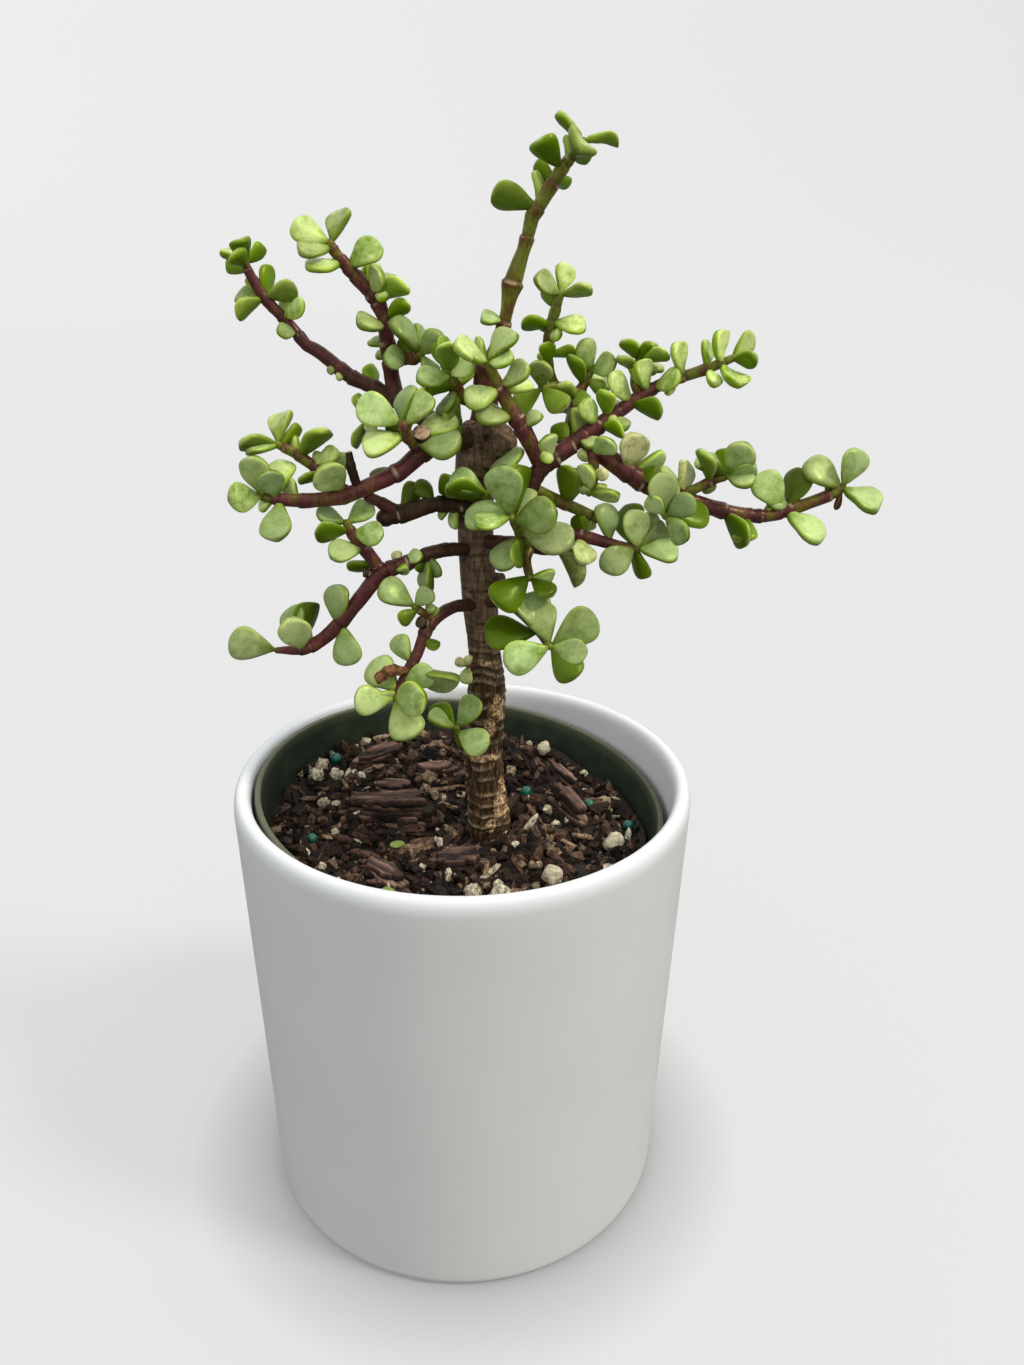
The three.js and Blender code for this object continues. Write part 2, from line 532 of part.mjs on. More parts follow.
// A closed cylinder carried along the stem's curve and past its tip by the radius there, where the bud
// is. It is `grow` larger all round.
function stemSolid(points, sides, grow) {
  const steps = (points.length - 1) * STEPS_BETWEEN_POINTS;
  const geometry = new THREE.CylinderGeometry(1, 1, 1, sides, steps);
  const curve = stemCurve(points);
  const position = geometry.attributes.position;
  const spot = new THREE.Vector3();
  for (let i = 0; i < position.count; i += 1) {
    spot.fromBufferAttribute(position, i);
    const t = spot.y + 0.5;
    const tangent = curve.getTangent(t);
    const sideways = tangent.clone().cross(gaze).normalize();
    const outward = sideways.clone().cross(tangent);
    const radius = radiusAt(points, t) + grow;
    const overrun = t > 0.5 ? radius : -grow;
    const centre = curve.getPoint(t).addScaledVector(tangent, t === 0 || t === 1 ? overrun : 0);
    centre.addScaledVector(sideways, spot.x * radius).addScaledVector(outward, spot.z * radius);
    position.setXYZ(i, centre.x, centre.y, centre.z);
  }
  return solidOf(geometry);
}

// ---- leaves ----
// Half the leaf's width at share t of its length, as a share of its greatest half width.
function leafOutline(t) {
  return Math.sin(Math.PI * t ** 1.35) ** LEAF_BLUNTNESS;
}

function leafDirection(base, clock, lean) {
  const toEye = EYE.clone().sub(base).normalize();
  const bearing = THREE.MathUtils.degToRad(clock);
  const tilt = THREE.MathUtils.degToRad(lean);
  const across = squareTo(gazeRight, toEye).multiplyScalar(Math.sin(bearing));
  const upward = squareTo(gazeUp, toEye).multiplyScalar(Math.cos(bearing));
  return across.add(upward).normalize().multiplyScalar(Math.cos(tilt))
    .addScaledVector(toEye, Math.sin(tilt)).normalize();
}

// The upper face turns away from the eye towards the tip of the stem, as leaves cup the bud.
function leafFace(base, direction, tangent, facing) {
  const turn = THREE.MathUtils.degToRad(facing);
  const full = squareTo(EYE.clone().sub(base), direction);
  const sideways = direction.clone().cross(full);
  const hand = sideways.dot(tangent) < 0 ? -1 : 1;
  return full.multiplyScalar(Math.cos(turn)).addScaledVector(sideways, hand * Math.sin(turn));
}

function leafSolid(curve, [at, clock, lean, length, facing], grow) {
  const base = curve.getPoint(at);
  const direction = leafDirection(base, clock, lean);
  const face = leafFace(base, direction, curve.getTangent(at), facing);
  const sideways = direction.clone().cross(face);
  const geometry = new THREE.SphereGeometry(1, LEAF_SIDES, LEAF_RINGS);
  const position = geometry.attributes.position;
  const spot = new THREE.Vector3();
  for (let i = 0; i < position.count; i += 1) {
    spot.fromBufferAttribute(position, i);
    const ring = Math.hypot(spot.x, spot.z);
    const rise = (1 + spot.y) / 2;
    const t = rise + 0.1 * Math.sin(Math.PI * rise);
    const width = ring > POLE ? (LEAF_WIDTH * length * leafOutline(t) / 2 + grow) / ring : 0;
    const thickness = ring > POLE ? (LEAF_THICKNESS * (1 + leafOutline(t)) / 4 + grow) / ring : 0;
    const tip = base.clone().addScaledVector(direction, t * length + grow * (2 * t - 1));
    tip.addScaledVector(sideways, spot.x * width).addScaledVector(face, spot.z * thickness);
    position.setXYZ(i, tip.x, tip.y, tip.z);
  }
  return solidOf(geometry);
}

// ---- the tree's pieces ----
function woodOf(piece, sides, grow) {
  const stubs = piece.stubs ?? [];
  return joined([piece.stem, ...stubs].map((points) => stemSolid(points, sides, grow)));
}

function foliageOf(piece, grow) {
  const curve = stemCurve(piece.stem);
  return piece.leaves.map((leaf) => leafSolid(curve, leaf, grow));
}

// Stems grow out of one another: each later stem is cut by the earlier ones. Leaves give way to every
// other piece's stem, and to the leaves of earlier pieces.
function treeSolids() {
  const pieces = [TRUNK, ...BRANCHES].map((piece) => ({
    leaves: [],
    ...piece,
    sides: piece === TRUNK ? TRUNK_SIDES : STEM_SIDES,
  }));
  const thickWood = pieces.map((piece) => woodOf(piece, piece.sides, GAP));
  const thickLeaves = [];
  return pieces.map((piece, index) => {
    const wood = cutBy(woodOf(piece, piece.sides, 0), thickWood.slice(0, index));
    const otherWood = thickWood.filter((_, other) => other !== index);
    const leaves = foliageOf(piece, 0).map((leaf) => cutBy(leaf, [...otherWood, ...thickLeaves]));
    thickLeaves.push(...foliageOf(piece, GAP));
    const solid = largestPiece(joined([largestPiece(wood), ...leaves]).simplify(SLIVER));
    return { name: piece.name, woody: piece.woody || piece === TRUNK, solid };
  });
}

// ---- pots ----
function turned(outline) {
  return new THREE.LatheGeometry(outline.getPoints(CORNER_STEPS), TURNED_SIDES).rotateX(Math.PI / 2);
}

function planterSolid() {
  const footEdge = 3;
  const lip = PLANTER_WALL / 2;
  const lipTop = PLANTER_HEIGHT;
  const outline = new THREE.Path();
  outline.moveTo(0, 0);
  outline.lineTo(PLANTER_FOOT_RADIUS - footEdge, 0);
  outline.quadraticCurveTo(PLANTER_FOOT_RADIUS, 0, PLANTER_FOOT_RADIUS, footEdge);
  outline.lineTo(PLANTER_RIM_RADIUS, lipTop - 2 * lip);
  outline.quadraticCurveTo(PLANTER_RIM_RADIUS, lipTop, PLANTER_RIM_RADIUS - lip, lipTop);
  outline.quadraticCurveTo(PLANTER_MOUTH_RADIUS, lipTop, PLANTER_MOUTH_RADIUS, lipTop - 2 * lip);
  outline.lineTo(PLANTER_FOOT_RADIUS - PLANTER_WALL, PLANTER_FLOOR + 2 * footEdge);
  outline.quadraticCurveTo(
    PLANTER_FOOT_RADIUS - PLANTER_WALL, PLANTER_FLOOR,
    PLANTER_FOOT_RADIUS - PLANTER_WALL - 2 * footEdge, PLANTER_FLOOR,
  );
  outline.lineTo(0, PLANTER_FLOOR);
  return solidOf(turned(outline));
}

// The pot's own frame: its foot at z = 0, then leaned and set down inside the planter.
const potTilt = new THREE.Quaternion().setFromEuler(new THREE.Euler(
  THREE.MathUtils.degToRad(POT_TILT_ABOUT_X), THREE.MathUtils.degToRad(POT_TILT_ABOUT_Y), 0, 'XYZ',
));
const potFoot = POT_RIM_CENTRE.clone().addScaledVector(UP.clone().applyQuaternion(potTilt), -POT_HEIGHT);
const potPlace = new THREE.Matrix4().compose(potFoot, potTilt, new THREE.Vector3(1, 1, 1));

function tilted(geometry) {
  return solidOf(geometry.applyMatrix4(potPlace));
}

function potRadiusAt(height) {
  const slope = (POT_RIM_RADIUS - POT_LIP_WIDTH - POT_FOOT_RADIUS) / POT_HEIGHT;
  return POT_FOOT_RADIUS + slope * height;
}

function nurseryPotSolid() {
  const lipFoot = POT_HEIGHT - POT_LIP_HEIGHT;
  const edge = POT_WALL / 2;
  const outline = new THREE.Path();
  outline.moveTo(0, 0);
  outline.lineTo(POT_FOOT_RADIUS - edge, 0);
  outline.lineTo(POT_FOOT_RADIUS, edge);
  outline.lineTo(potRadiusAt(lipFoot), lipFoot);
  outline.lineTo(POT_RIM_RADIUS, lipFoot + edge);
  outline.lineTo(POT_RIM_RADIUS, POT_HEIGHT - edge);
  outline.lineTo(POT_RIM_RADIUS - edge, POT_HEIGHT);
  outline.lineTo(POT_RIM_RADIUS - POT_LIP_WIDTH, POT_HEIGHT);
  outline.lineTo(potRadiusAt(lipFoot) - POT_WALL, lipFoot);
  outline.lineTo(POT_FOOT_RADIUS - POT_WALL, POT_WALL);
  outline.lineTo(0, POT_WALL);
  const holes = Array.from({ length: DRAIN_HOLES }, (_, index) => {
    const angle = (2 * Math.PI * index) / DRAIN_HOLES;
    const hole = new THREE.CylinderGeometry(DRAIN_RADIUS, DRAIN_RADIUS, 4 * POT_WALL, DRAIN_SIDES);
    hole.rotateX(Math.PI / 2);
    hole.translate(DRAIN_CIRCLE_RADIUS * Math.cos(angle), DRAIN_CIRCLE_RADIUS * Math.sin(angle), 0);
    return tilted(hole);
  });
  return cutBy(tilted(turned(outline)), holes);
}

// ---- soil and what lies on it ----
function soilHeight(x, y) {
  const wave = 2 * Math.PI / SOIL_RIPPLE_LENGTH;
  const bearing = THREE.MathUtils.degToRad(SOIL_BANK_BEARING);
  const towardsBank = y * Math.cos(bearing) - x * Math.sin(bearing);
  const bank = SOIL_BANK * THREE.MathUtils.smoothstep(towardsBank, 0, SOIL_BANK_DEPTH);
  return SOIL_LEVEL + bank + SOIL_RIPPLE * Math.sin(wave * x + 1) * Math.sin(wave * y * 0.8);
}

function soilSolid(cutters) {
  const outline = new THREE.Path();
  outline.moveTo(0, POT_WALL + GAP);
  outline.lineTo(POT_FOOT_RADIUS - POT_WALL - GAP, POT_WALL + GAP);
  outline.lineTo(potRadiusAt(POT_HEIGHT) - POT_WALL - 2 * GAP, POT_HEIGHT);
  outline.lineTo(0, POT_HEIGHT);
  const side = 2 * PLANTER_RIM_RADIUS;
  const block = new THREE.BoxGeometry(side, side, SOIL_LEVEL, SOIL_CELLS, SOIL_CELLS, 1);
  block.translate(0, 0, SOIL_LEVEL / 2);
  const position = block.attributes.position;
  for (let i = 0; i < position.count; i += 1) {
    if (position.getZ(i) > SOIL_LEVEL / 2) {
      position.setZ(i, soilHeight(position.getX(i), position.getY(i)));
    }
  }
  return largestPiece(cutBy(tilted(turned(outline)).intersect(solidOf(block)), cutters)).simplify(SLIVER);
}

// A split of bark: a box whose ends are narrower and thinner.
function barkChipSolid([x, y, length, width, height, turn, rise], grow) {
  const geometry = new THREE.BoxGeometry(length + 2 * grow, width + 2 * grow, height + 2 * grow, 3, 2, 1);
  const position = geometry.attributes.position;
  for (let i = 0; i < position.count; i += 1) {
    const along = 2 * position.getX(i) / length;
    const taper = 1 - 0.45 * along * along;
    position.setY(i, position.getY(i) * taper);
    position.setZ(i, position.getZ(i) * (1 - 0.25 * Math.abs(along)));
  }
  geometry.rotateX(THREE.MathUtils.degToRad(turn / 4));
  geometry.rotateY(THREE.MathUtils.degToRad(-rise));
  geometry.rotateZ(THREE.MathUtils.degToRad(turn));
  return solidOf(geometry.translate(x, y, soilHeight(x, y) + height / 5));
}

function pumiceSolid([x, y, length, width, height, turn], grow) {
  const geometry = new THREE.IcosahedronGeometry(0.5, 1);
  geometry.scale(length + 2 * grow, width + 2 * grow, height + 2 * grow);
  geometry.rotateZ(THREE.MathUtils.degToRad(turn));
  return solidOf(geometry.translate(x, y, soilHeight(x, y) + height / 4));
}

function beadSolid([x, y], grow) {
  const geometry = new THREE.IcosahedronGeometry(BEAD_RADIUS + grow, 1);
  return solidOf(geometry.translate(x, y, soilHeight(x, y) + BEAD_RADIUS / 3));
}

function numbered(stem, shape, rows) {
  return rows.map((row, index) => ({
    name: `${stem}_${index + 1}`,
    solid: shape(row, 0),
    thick: shape(row, GAP),
  }));
}

// ---- materials and the whole ----
const LOOKS = {
  ceramic: { color: 0xeceae6, roughness: 0.35, metalness: 0 },
  plastic: { color: 0x33402f, roughness: 0.5, metalness: 0 },
  soil: { color: 0x3b2a22, roughness: 0.95, metalness: 0 },
  chip: { color: 0x6b4b3c, roughness: 0.9, metalness: 0 },
  pumice: { color: 0xcfc4ac, roughness: 0.95, metalness: 0 },
  bead: { color: 0x1f6f5c, roughness: 0.4, metalness: 0 },
  bark: { color: 0x5b4436, roughness: 0.9, metalness: 0 },
  leaf: { color: 0x86ad5c, roughness: 0.45, metalness: 0 },
};

function meshOf(name, solid, look) {
  const mesh = new THREE.Mesh(geometryOf(solid), new THREE.MeshStandardMaterial(LOOKS[look]));
  mesh.name = name;
  return mesh;
}

function build() {
  const plant = new THREE.Group();
  const tree = treeSolids();
  const litter = [
    ...numbered('bark_chip', barkChipSolid, BARK_CHIPS),
    ...numbered('pumice_stone', pumiceSolid, PUMICE_STONES),
    ...numbered('fertiliser_bead', beadSolid, BEADS),
  ];
  const thickTrunk = woodOf(TRUNK, TRUNK_SIDES, GAP);
  plant.add(meshOf('planter', planterSolid(), 'ceramic'));
  plant.add(meshOf('nursery_pot', nurseryPotSolid(), 'plastic'));
  plant.add(meshOf('potting_mix', soilSolid([thickTrunk, ...litter.map((bit) => bit.thick)]), 'soil'));
  const litterLooks = { bark: 'chip', pumice: 'pumice', fertiliser: 'bead' };
  litter.forEach((bit) => plant.add(meshOf(bit.name, bit.solid, litterLooks[bit.name.split('_')[0]])));
  tree.forEach((piece) => plant.add(meshOf(piece.name, piece.solid, piece.woody ? 'bark' : 'leaf')));
  return plant;
}

export default build();
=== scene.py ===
"""A dwarf jade tree in its nursery pot, inside a white ceramic planter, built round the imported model."""

import bpy
import numpy as np
from mathutils import Matrix


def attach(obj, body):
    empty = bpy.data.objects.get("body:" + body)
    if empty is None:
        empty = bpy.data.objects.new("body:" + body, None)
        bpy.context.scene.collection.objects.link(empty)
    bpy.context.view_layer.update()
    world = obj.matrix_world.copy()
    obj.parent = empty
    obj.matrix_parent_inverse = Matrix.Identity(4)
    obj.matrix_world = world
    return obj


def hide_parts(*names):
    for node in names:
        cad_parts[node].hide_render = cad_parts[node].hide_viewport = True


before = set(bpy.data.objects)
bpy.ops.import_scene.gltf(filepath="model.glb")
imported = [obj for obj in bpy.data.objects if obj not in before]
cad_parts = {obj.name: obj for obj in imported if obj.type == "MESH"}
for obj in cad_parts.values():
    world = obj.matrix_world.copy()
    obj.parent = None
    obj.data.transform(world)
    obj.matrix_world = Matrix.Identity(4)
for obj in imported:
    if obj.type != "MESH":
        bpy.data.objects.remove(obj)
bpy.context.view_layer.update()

# ---------------------------------------------------------------- sizes, in millimetres and degrees
MM = 0.001
EYE = np.array([0.0, -277.0, 284.0])  # the tree is laid out as it is seen from here
GAZE_DOWN = 23.75
GAZE_RIGHT = 2.8
GAZE_ROLL = 0.7
CAMERA_PLACE = np.array([0.0, -277.2, 284.5])

PLANTER_HEIGHT = 134.6
PLANTER_RIM_RADIUS = 65.0
PLANTER_FOOT_RADIUS = 61.2
PLANTER_MOUTH_RADIUS = 60.1
PLANTER_FLOOR = 8.0
PLANTER_WALL = 4.9
PLANTER_FOOT_ROUNDING = 3.0

POT_HEIGHT = 116.0
POT_RIM_RADIUS = 58.8
POT_FOOT_RADIUS = 42.0
POT_WALL = 1.4
POT_LIP_HEIGHT = 8.0
POT_LIP_WIDTH = 1.6
POT_INSIDE_KNEE = 60.0
POT_RIM_CENTRE = np.array([-0.5, -0.3, 128.3])
POT_TILT_ABOUT_X = 2.34
POT_TILT_ABOUT_Y = 5.54
POT_GAP = 0.3  # between the pot's wall and the mix

SOIL_LEVEL = 115.5
SOIL_BANK = 6.8
SOIL_BANK_DEPTH = 52.0
SOIL_BANK_BEARING = 30.0
SOIL_RIPPLE = 1.1
SOIL_RIPPLE_LENGTH = 34.0

CRUMB_COUNT = 3100
SPLINTER_SHARE = 0.3
PALE_CRUMB_SHARE = 0.04
FLAKE_COUNT = 260
TAN_FLAKE_SHARE = 0.08
TAN_KIND = 0.80  # a crumb's kind runs from 0, dark peat, to 1, pale pumice
PALE_KIND = 0.97

LEAF_WIDTH = 0.76  # of the leaf's length
LEAF_THICKNESS = 2.35
LEAF_END_ROUNDNESS = 2.7
LEAF_END_BLUNTNESS = 0.55
BEAD_RADIUS = 1.8
CHIP_PLATE_THICKNESS = 1.7
PLAIN_COLLAR = 0.13  # how much a stem widens at a joint, as a share of its radius
STEM_JOINT_SPACING = 11.0
END_RINGS = 7  # the rings that close a stem's end
CUT_RINGS = 6  # those of them that a cut shows on
NEAR_AXIS = 0.01  # where a section that is turned about Z starts and ends

# ---------------------------------------------------------------- the tree
# A stem row is across, up, front, radius. Across and up are a point of the upright plane Y = 0, and the
# stem passes front mm before that plane, in line with the point and the eye.
# A leaf row is at, clock, lean, length, facing. At is its place on the stem, from 0 to 1, where each stem
# row is an equal share on from the last. Clock is its bearing as the eye sees it, clockwise from up, and
# lean is how far it tips towards the eye. Facing turns its upper face from the eye, at 0, towards the
# stem's tip, until its underside shows, at 180. A sixth value is its share of cream, or DRIED.
# tint is the stem's colour at its foot and tip: 0 brown bark, 1 maroon, 2 olive green.
# lime is how yellow and how light the leaves are, from 0, grey green, to 1. Its lightness is partly painted
# light: the upper shoots have more and the lower ones less, as if in the crown's shade.
# collar is how much the stem widens at a joint, and joints are the places of the joints, where the leaves
# don't give them. stubs are short ends of wood on the stem, given as stem rows. cut is how pale their ends
# are, and withered ones are crumpled and brown.
DRIED = -1

TRUNK = {
    "stem": [
        (7, 108, 0, 6.6), (7, 120, 0, 6.2), (6, 132, 0, 5.4), (5.5, 145, 0, 5.4), (6.5, 160, 0, 5.2),
        (6, 172, 0, 4.4), (5, 184, 0, 4.7), (4, 198, 0, 4.7), (3.5, 210, 0, 4.7), (3.5, 221, 0, 5.2),
        (4, 229, 0, 5.4),
    ],
    "stubs": [
        [(5, 224, 0, 4.8), (8, 228, 2, 4.7), (10.5, 231, 4, 4.2)],
        [(3, 226, 0, 4.4), (3, 231, 0, 3.2), (2.5, 234, 0, 2.2)],
        [(6, 192.5, 1, 2), (10.5, 192.8, 4, 1.6)],
    ],
}

BRANCHES = {
    "leader": {
        "collar": 0.22, "tint": (0.9, 1.85), "lime_and_light": 0.6, "joints": [0.2, 0.32, 0.54, 0.72, 0.885],
        "stem": [
            (5, 230, -2, 3.6), (6, 239, -1, 3.4), (6, 246, -1, 2.8), (9, 252, -1, 2.2), (11, 260, 0, 1.6),
            (12.5, 267, 0, 2.3), (15.5, 276, 0, 1.6), (17, 282, 0, 1.9),
        ],
        "leaves": [(0.54, 275, 15, 6, 55), (0.54, 5, -30, 5, 50)],
    },
    "shoot_top": {
        "collar": 0.16, "tint": (1.6, 2.0), "lime_and_light": 1.0,
        "stem": [
            (17, 282, 0, 1.8), (19.4, 285.5, 0, 1.7), (21.6, 289, 0, 1.6), (24.2, 292.8, 0, 1.4),
            (26.6, 295.4, 0.5, 1.1), (28.4, 298, 1.5, 0.8),
        ],
        "leaves": [
            (0.12, 281, 5, 11.4, 137), (0.12, 357, -35, 8.5, 75), (0.42, 305, -45, 7.5, 130),
            (0.44, 118, -70, 7, 120), (0.56, 314, 40, 9.5, 163), (0.65, 2, -50, 7, 60),
            (0.76, 35, 75, 11.5, 178), (1, 312, -10, 8.5, 100), (1, 88, -10, 8.2, 94),
            (0.8, 128, -60, 6.5, 135),
        ],
    },
    "branch_left_upper": {
        "collar": 0.16, "tint": (0.5, 1.0), "lime_and_light": 0.6,
        "stem": [
            (1.5, 230, -5, 3), (-5.5, 233.5, -8, 2.6), (-12, 236.5, -10, 2.4), (-15.5, 239.5, -11, 2.3),
            (-17, 244.5, -12, 2.1), (-17.5, 250, -11, 2), (-18.5, 259, -10, 1.9),
        ],
        "leaves": [
            (0.96, 275, 40, 9, 60), (0.92, 340, -50, 4.5, 60), (0.88, 285, -40, 6, 50),
            (0.82, 305, -65, 6, 40), (1, 65, 25, 7.5, 130),
        ],
    },
    "shoot_left_peak": {
        "collar": 0.18, "tint": (1.0, 1.5), "lime_and_light": 0.8,
        "stem": [
            (-18.5, 259, -10, 1.8), (-20.5, 263.5, -10, 1.9), (-25, 268.5, -10, 1.7), (-29, 273, -10, 1.4),
            (-30.5, 275.5, -10, 1.2),
        ],
        "leaves": [
            (1, 295, 0, 10, 35), (1, 25, -30, 10, 55), (0.9, 260, 25, 9, 55), (0.65, 265, 15, 9.5, 65),
            (0.6, 60, 10, 10, 40), (0.45, 55, -50, 8, 65), (0.3, 0, -35, 8, 130), (0.3, 25, 40, 8, 45),
            (0.3, 50, -25, 8, 65), (0.25, 70, 25, 9.5, 130), (0.28, 95, 45, 5, 60),
        ],
    },
    "shoot_left_peak_side": {
        "tint": (1.2, 1.7), "lime_and_light": 0.45,
        "stem": [
            (-16.5, 248.5, -11, 1.7), (-14, 249.5, -8, 1.6), (-11.5, 249.5, -6, 1.5), (-10, 250.5, -5, 1.3),
        ],
        "leaves": [
            (1, 325, 15, 11, 60), (1, 45, 30, 8.5, 10), (0.95, 0, -40, 9, 60), (1, 145, 25, 7, 45),
            (0.4, 270, 50, 8, 10), (0.7, 315, -45, 7, 145), (0.2, 15, -45, 4, 45),
        ],
    },
    "branch_far_left": {
        "collar": 0.16, "tint": (0.3, 1.0), "lime_and_light": 0.7,
        "stem": [
            (-14.5, 238, -11, 2), (-20.5, 242, -14, 2), (-27, 245, -16, 1.9), (-34, 250.5, -18, 1.8),
            (-37.5, 252.5, -19, 1.7),
        ],
        "leaves": [
            (0.62, 230, 25, 3, 20), (0.55, 235, 25, 3, 20), (0.3, 355, -35, 7, 155), (0.5, 345, -30, 2.5, 60),
        ],
    },
    "shoot_far_left": {
        "tint": (1.0, 1.3), "lime_and_light": 0.95,
        "stem": [
            (-37.5, 252.5, -19, 1.6), (-42, 258, -20, 1.5), (-47, 263.5, -20, 1.4), (-50, 269, -20, 1.2),
            (-50.5, 271, -20, 0.9),
        ],
        "leaves": [
            (1, 345, 45, 8, 170), (1, 50, -30, 7, 125), (1, 295, -35, 7.5, 70), (0.9, 315, 60, 7.5, 170),
            (0.8, 265, -45, 7, 120), (0.5, 10, -35, 9, 130), (0.5, 80, 15, 9, 135), (0.52, 325, -30, 6, 125),
            (0.5, 270, -30, 8, 60), (0.5, 235, 15, 9, 125), (0.28, 55, 35, 8, 50), (0.28, 315, -35, 6, 60),
            (0.28, 25, -35, 6.5, 60), (0.12, 280, 40, 6, 40),
        ],
    },
    "branch_left": {
        "cut": 1.0, "tint": (0.4, 1.1), "lime_and_light": 0.3,
        "stem": [
            (1.5, 230, 3, 3.2), (-4, 229.6, 6, 2.8), (-8.5, 228, 8, 2.6), (-11.5, 225.3, 9, 2.4),
            (-16, 221.6, 10, 2.2), (-23.5, 218, 12, 2.1), (-30.5, 215, 12, 2),
        ],
        "stubs": [
            [(-9, 226, 7, 2.3), (-10, 229.5, 10, 2.3), (-10, 231.5, 12.5, 2.2)],
            [(-26.5, 217, 12, 1.1), (-28, 222, 13, 1.2), (-28.5, 226.5, 13, 0.8)],
            [(-10, 227, 8.5, 1.9), (-8.3, 224.8, 8.5, 1.4)],
        ],
        "leaves": [(0.67, 262, -28, 8, 130)],
    },
    "shoot_left_rise": {
        "tint": (1.4, 1.9), "lime_and_light": 0.4,
        "stem": [
            (-10, 226.5, 8, 1.7), (-12, 229, 11, 1.7), (-14, 231, 13, 1.6), (-15, 233.5, 14, 1.3),
            (-19.5, 235.5, 12, 0.8), (-23, 235, 11, 0.6),
        ],
        "leaves": [
            (0.6, 295, 0, 11.5, 10), (0.55, 45, 5, 10, 35), (0.6, 15, -25, 10, 65), (0.4, 243, 5, 11, 40),
            (0.5, 265, -45, 6, 120), (0.18, 90, 25, 12, 48), (0.25, 65, -18, 12.5, 55),
            (1, 330, -5, 6.5, 120), (1, 210, 0, 8, 115), (1, 165, 35, 4, 20, 0.8), (0.4, 20, -22, 12.5, 70),
        ],
    },
    "shoot_left_back": {
        "tint": (1.1, 1.6), "lime_and_light": 0.6,
        "stem": [(-29, 215.5, 12, 1.6), (-34, 220, 8, 1.5), (-41, 225.5, 6, 1.4), (-46.5, 228.5, 6, 1)],
        "leaves": [
            (1, 272, 18, 9.5, 120), (0.97, 260, 18, 8.5, 70), (1, 16, -28, 9.5, 50), (0.95, 50, -33, 8, 120),
            (0.67, 42, 23, 10.5, 125), (0.67, 335, -37, 6, 55), (0.5, 57, 20, 7.5, 52),
            (0.5, 25, -12, 4, 52), (0.4, 253, 28, 7, 110), (0.2, 0, -37, 9, 20), (0.08, 315, 40, 11, 10),
        ],
    },
    "shoot_left_tip": {
        "tint": (1.1, 1.5), "lime_and_light": 0.45,
        "stem": [(-30.5, 215, 12, 2), (-40, 214, 12, 1.8), (-48, 214.5, 13, 1.4), (-51, 215, 13, 1.1)],
        "leaves": [
            (1, 265, 32, 9.5, 20), (1, 347, 25, 11, 38), (0.65, 345, 35, 9, 10), (0.65, 3, -26, 11, 33),
            (0.6, 184, 22, 11, 30), (0.68, 230, -30, 5, 50), (0.42, 330, -30, 6.5, 45),
        ],
    },
    "stub_left": {
        "tint": (0.1, 0.3), "lime_and_light": 0.35,
        "stem": [(2, 213, 3, 2.3), (-7, 213, 5, 2.1), (-14, 211, 6, 2.4), (-20, 209.5, 6, 2.3)],
        "leaves": [
            (0.8, 37, -15, 9.5, 128), (0.35, 330, -10, 7.5, 150), (0.15, 230, -35, 6, 60),
            (0.1, 202, -25, 7, 65),
        ],
    },
    "twig_left_link": {
        "tint": (1.0, 1.0), "lime_and_light": 0.3,
        "stem": [(-15.5, 210.5, 6, 1.7), (-21, 213.5, 7, 1.5), (-24, 215, 8, 1.4)],
    },
    "branch_low_left": {
        "tint": (0.3, 0.7), "lime_and_light": 0.3,
        "stem": [(1, 201, 3, 1.8), (-6, 200.5, 7, 1.9), (-14, 197.5, 9, 1.9), (-22, 194.5, 10, 2.1)],
        "stubs": [[(-22.5, 194, 10, 1.1), (-26, 194.5, 11, 1.2)]],
        "leaves": [
            (0.88, 80, 10, 5, 70), (0.78, 345, -15, 4, 30, 1.0), (0.72, 58, 23, 5.5, 30),
            (0.45, 215, 0, 5.5, 115), (0.45, 158, 12, 6.5, 63), (0.45, 182, 0, 9.5, 67),
        ],
    },
    "shoot_low_left_rise": {
        "tint": (0.9, 1.7), "lime_and_light": 0.25,
        "stem": [(-22, 195, 10, 1.9), (-23.5, 198, 10, 1.7), (-28.5, 205, 11, 1.5), (-30, 208, 11, 1.1)],
        "leaves": [
            (1, 290, -10, 8, 45), (1, 53, -23, 8.5, 32), (0.8, 259, 20, 9, 133), (0.7, 94, 20, 8.5, 15),
            (0.5, 251, 22, 9.5, 37), (0.25, 261, -30, 8, 117),
        ],
    },
    "shoot_low_left": {
        "tint": (0.8, 1.15), "lime_and_light": 0.15,
        "stem": [
            (-22, 194.5, 10, 2.1), (-28.5, 186, 11, 2), (-36, 177.5, 12, 1.9), (-43, 173, 13, 1.6),
            (-50.5, 172.5, 13, 0.9),
        ],
        "leaves": [
            (1, 283, 0, 12.5, 20, 0.3), (0.78, 340, 40, 11.5, 5, 0.25), (0.78, 347, -10, 12, 40),
            (0.77, 8, -10, 12.5, 125), (0.68, 342, -18, 5.5, 65), (0.4, 165, 0, 11.5, 30),
            (0.42, 358, 10, 10.5, 47),
        ],
    },
    "branch_low_front": {
        "tint": (0.3, 0.8), "lime_and_light": 0.2,
        "stem": [(2.5, 185.5, 3, 1.8), (-3, 184.5, 7, 1.7), (-9, 180, 12, 1.8), (-12.5, 171.5, 16, 1.5)],
        "stubs": [[(-9.5, 180, 12, 1.6), (-11.5, 180.5, 14, 1.7)]],
        "leaves": [(0.65, 22, -8, 4.5, 45), (0.85, 115, 15, 5, 130)],
    },
    "shoot_low_front_side": {
        "tint": (1.4, 1.8), "lime_and_light": 0.2,
        "stem": [(-8, 181.5, 11, 1.3), (-10.5, 183, 13, 1.1), (-13, 185, 14, 0.9)],
        "leaves": [
            (1, 302, 8, 10.5, 35), (1, 45, 20, 6.5, 10), (0.85, 228, 20, 6, 145), (0.45, 50, 15, 3.5, 20),
        ],
    },
    "shoot_low_front": {
        "withered": True, "tint": (0.9, 1.5), "lime_and_light": 0.45,
        "stem": [(-12.5, 171.5, 16, 1.5), (-16.5, 163.5, 19, 1.3), (-19, 157.5, 21, 1)],
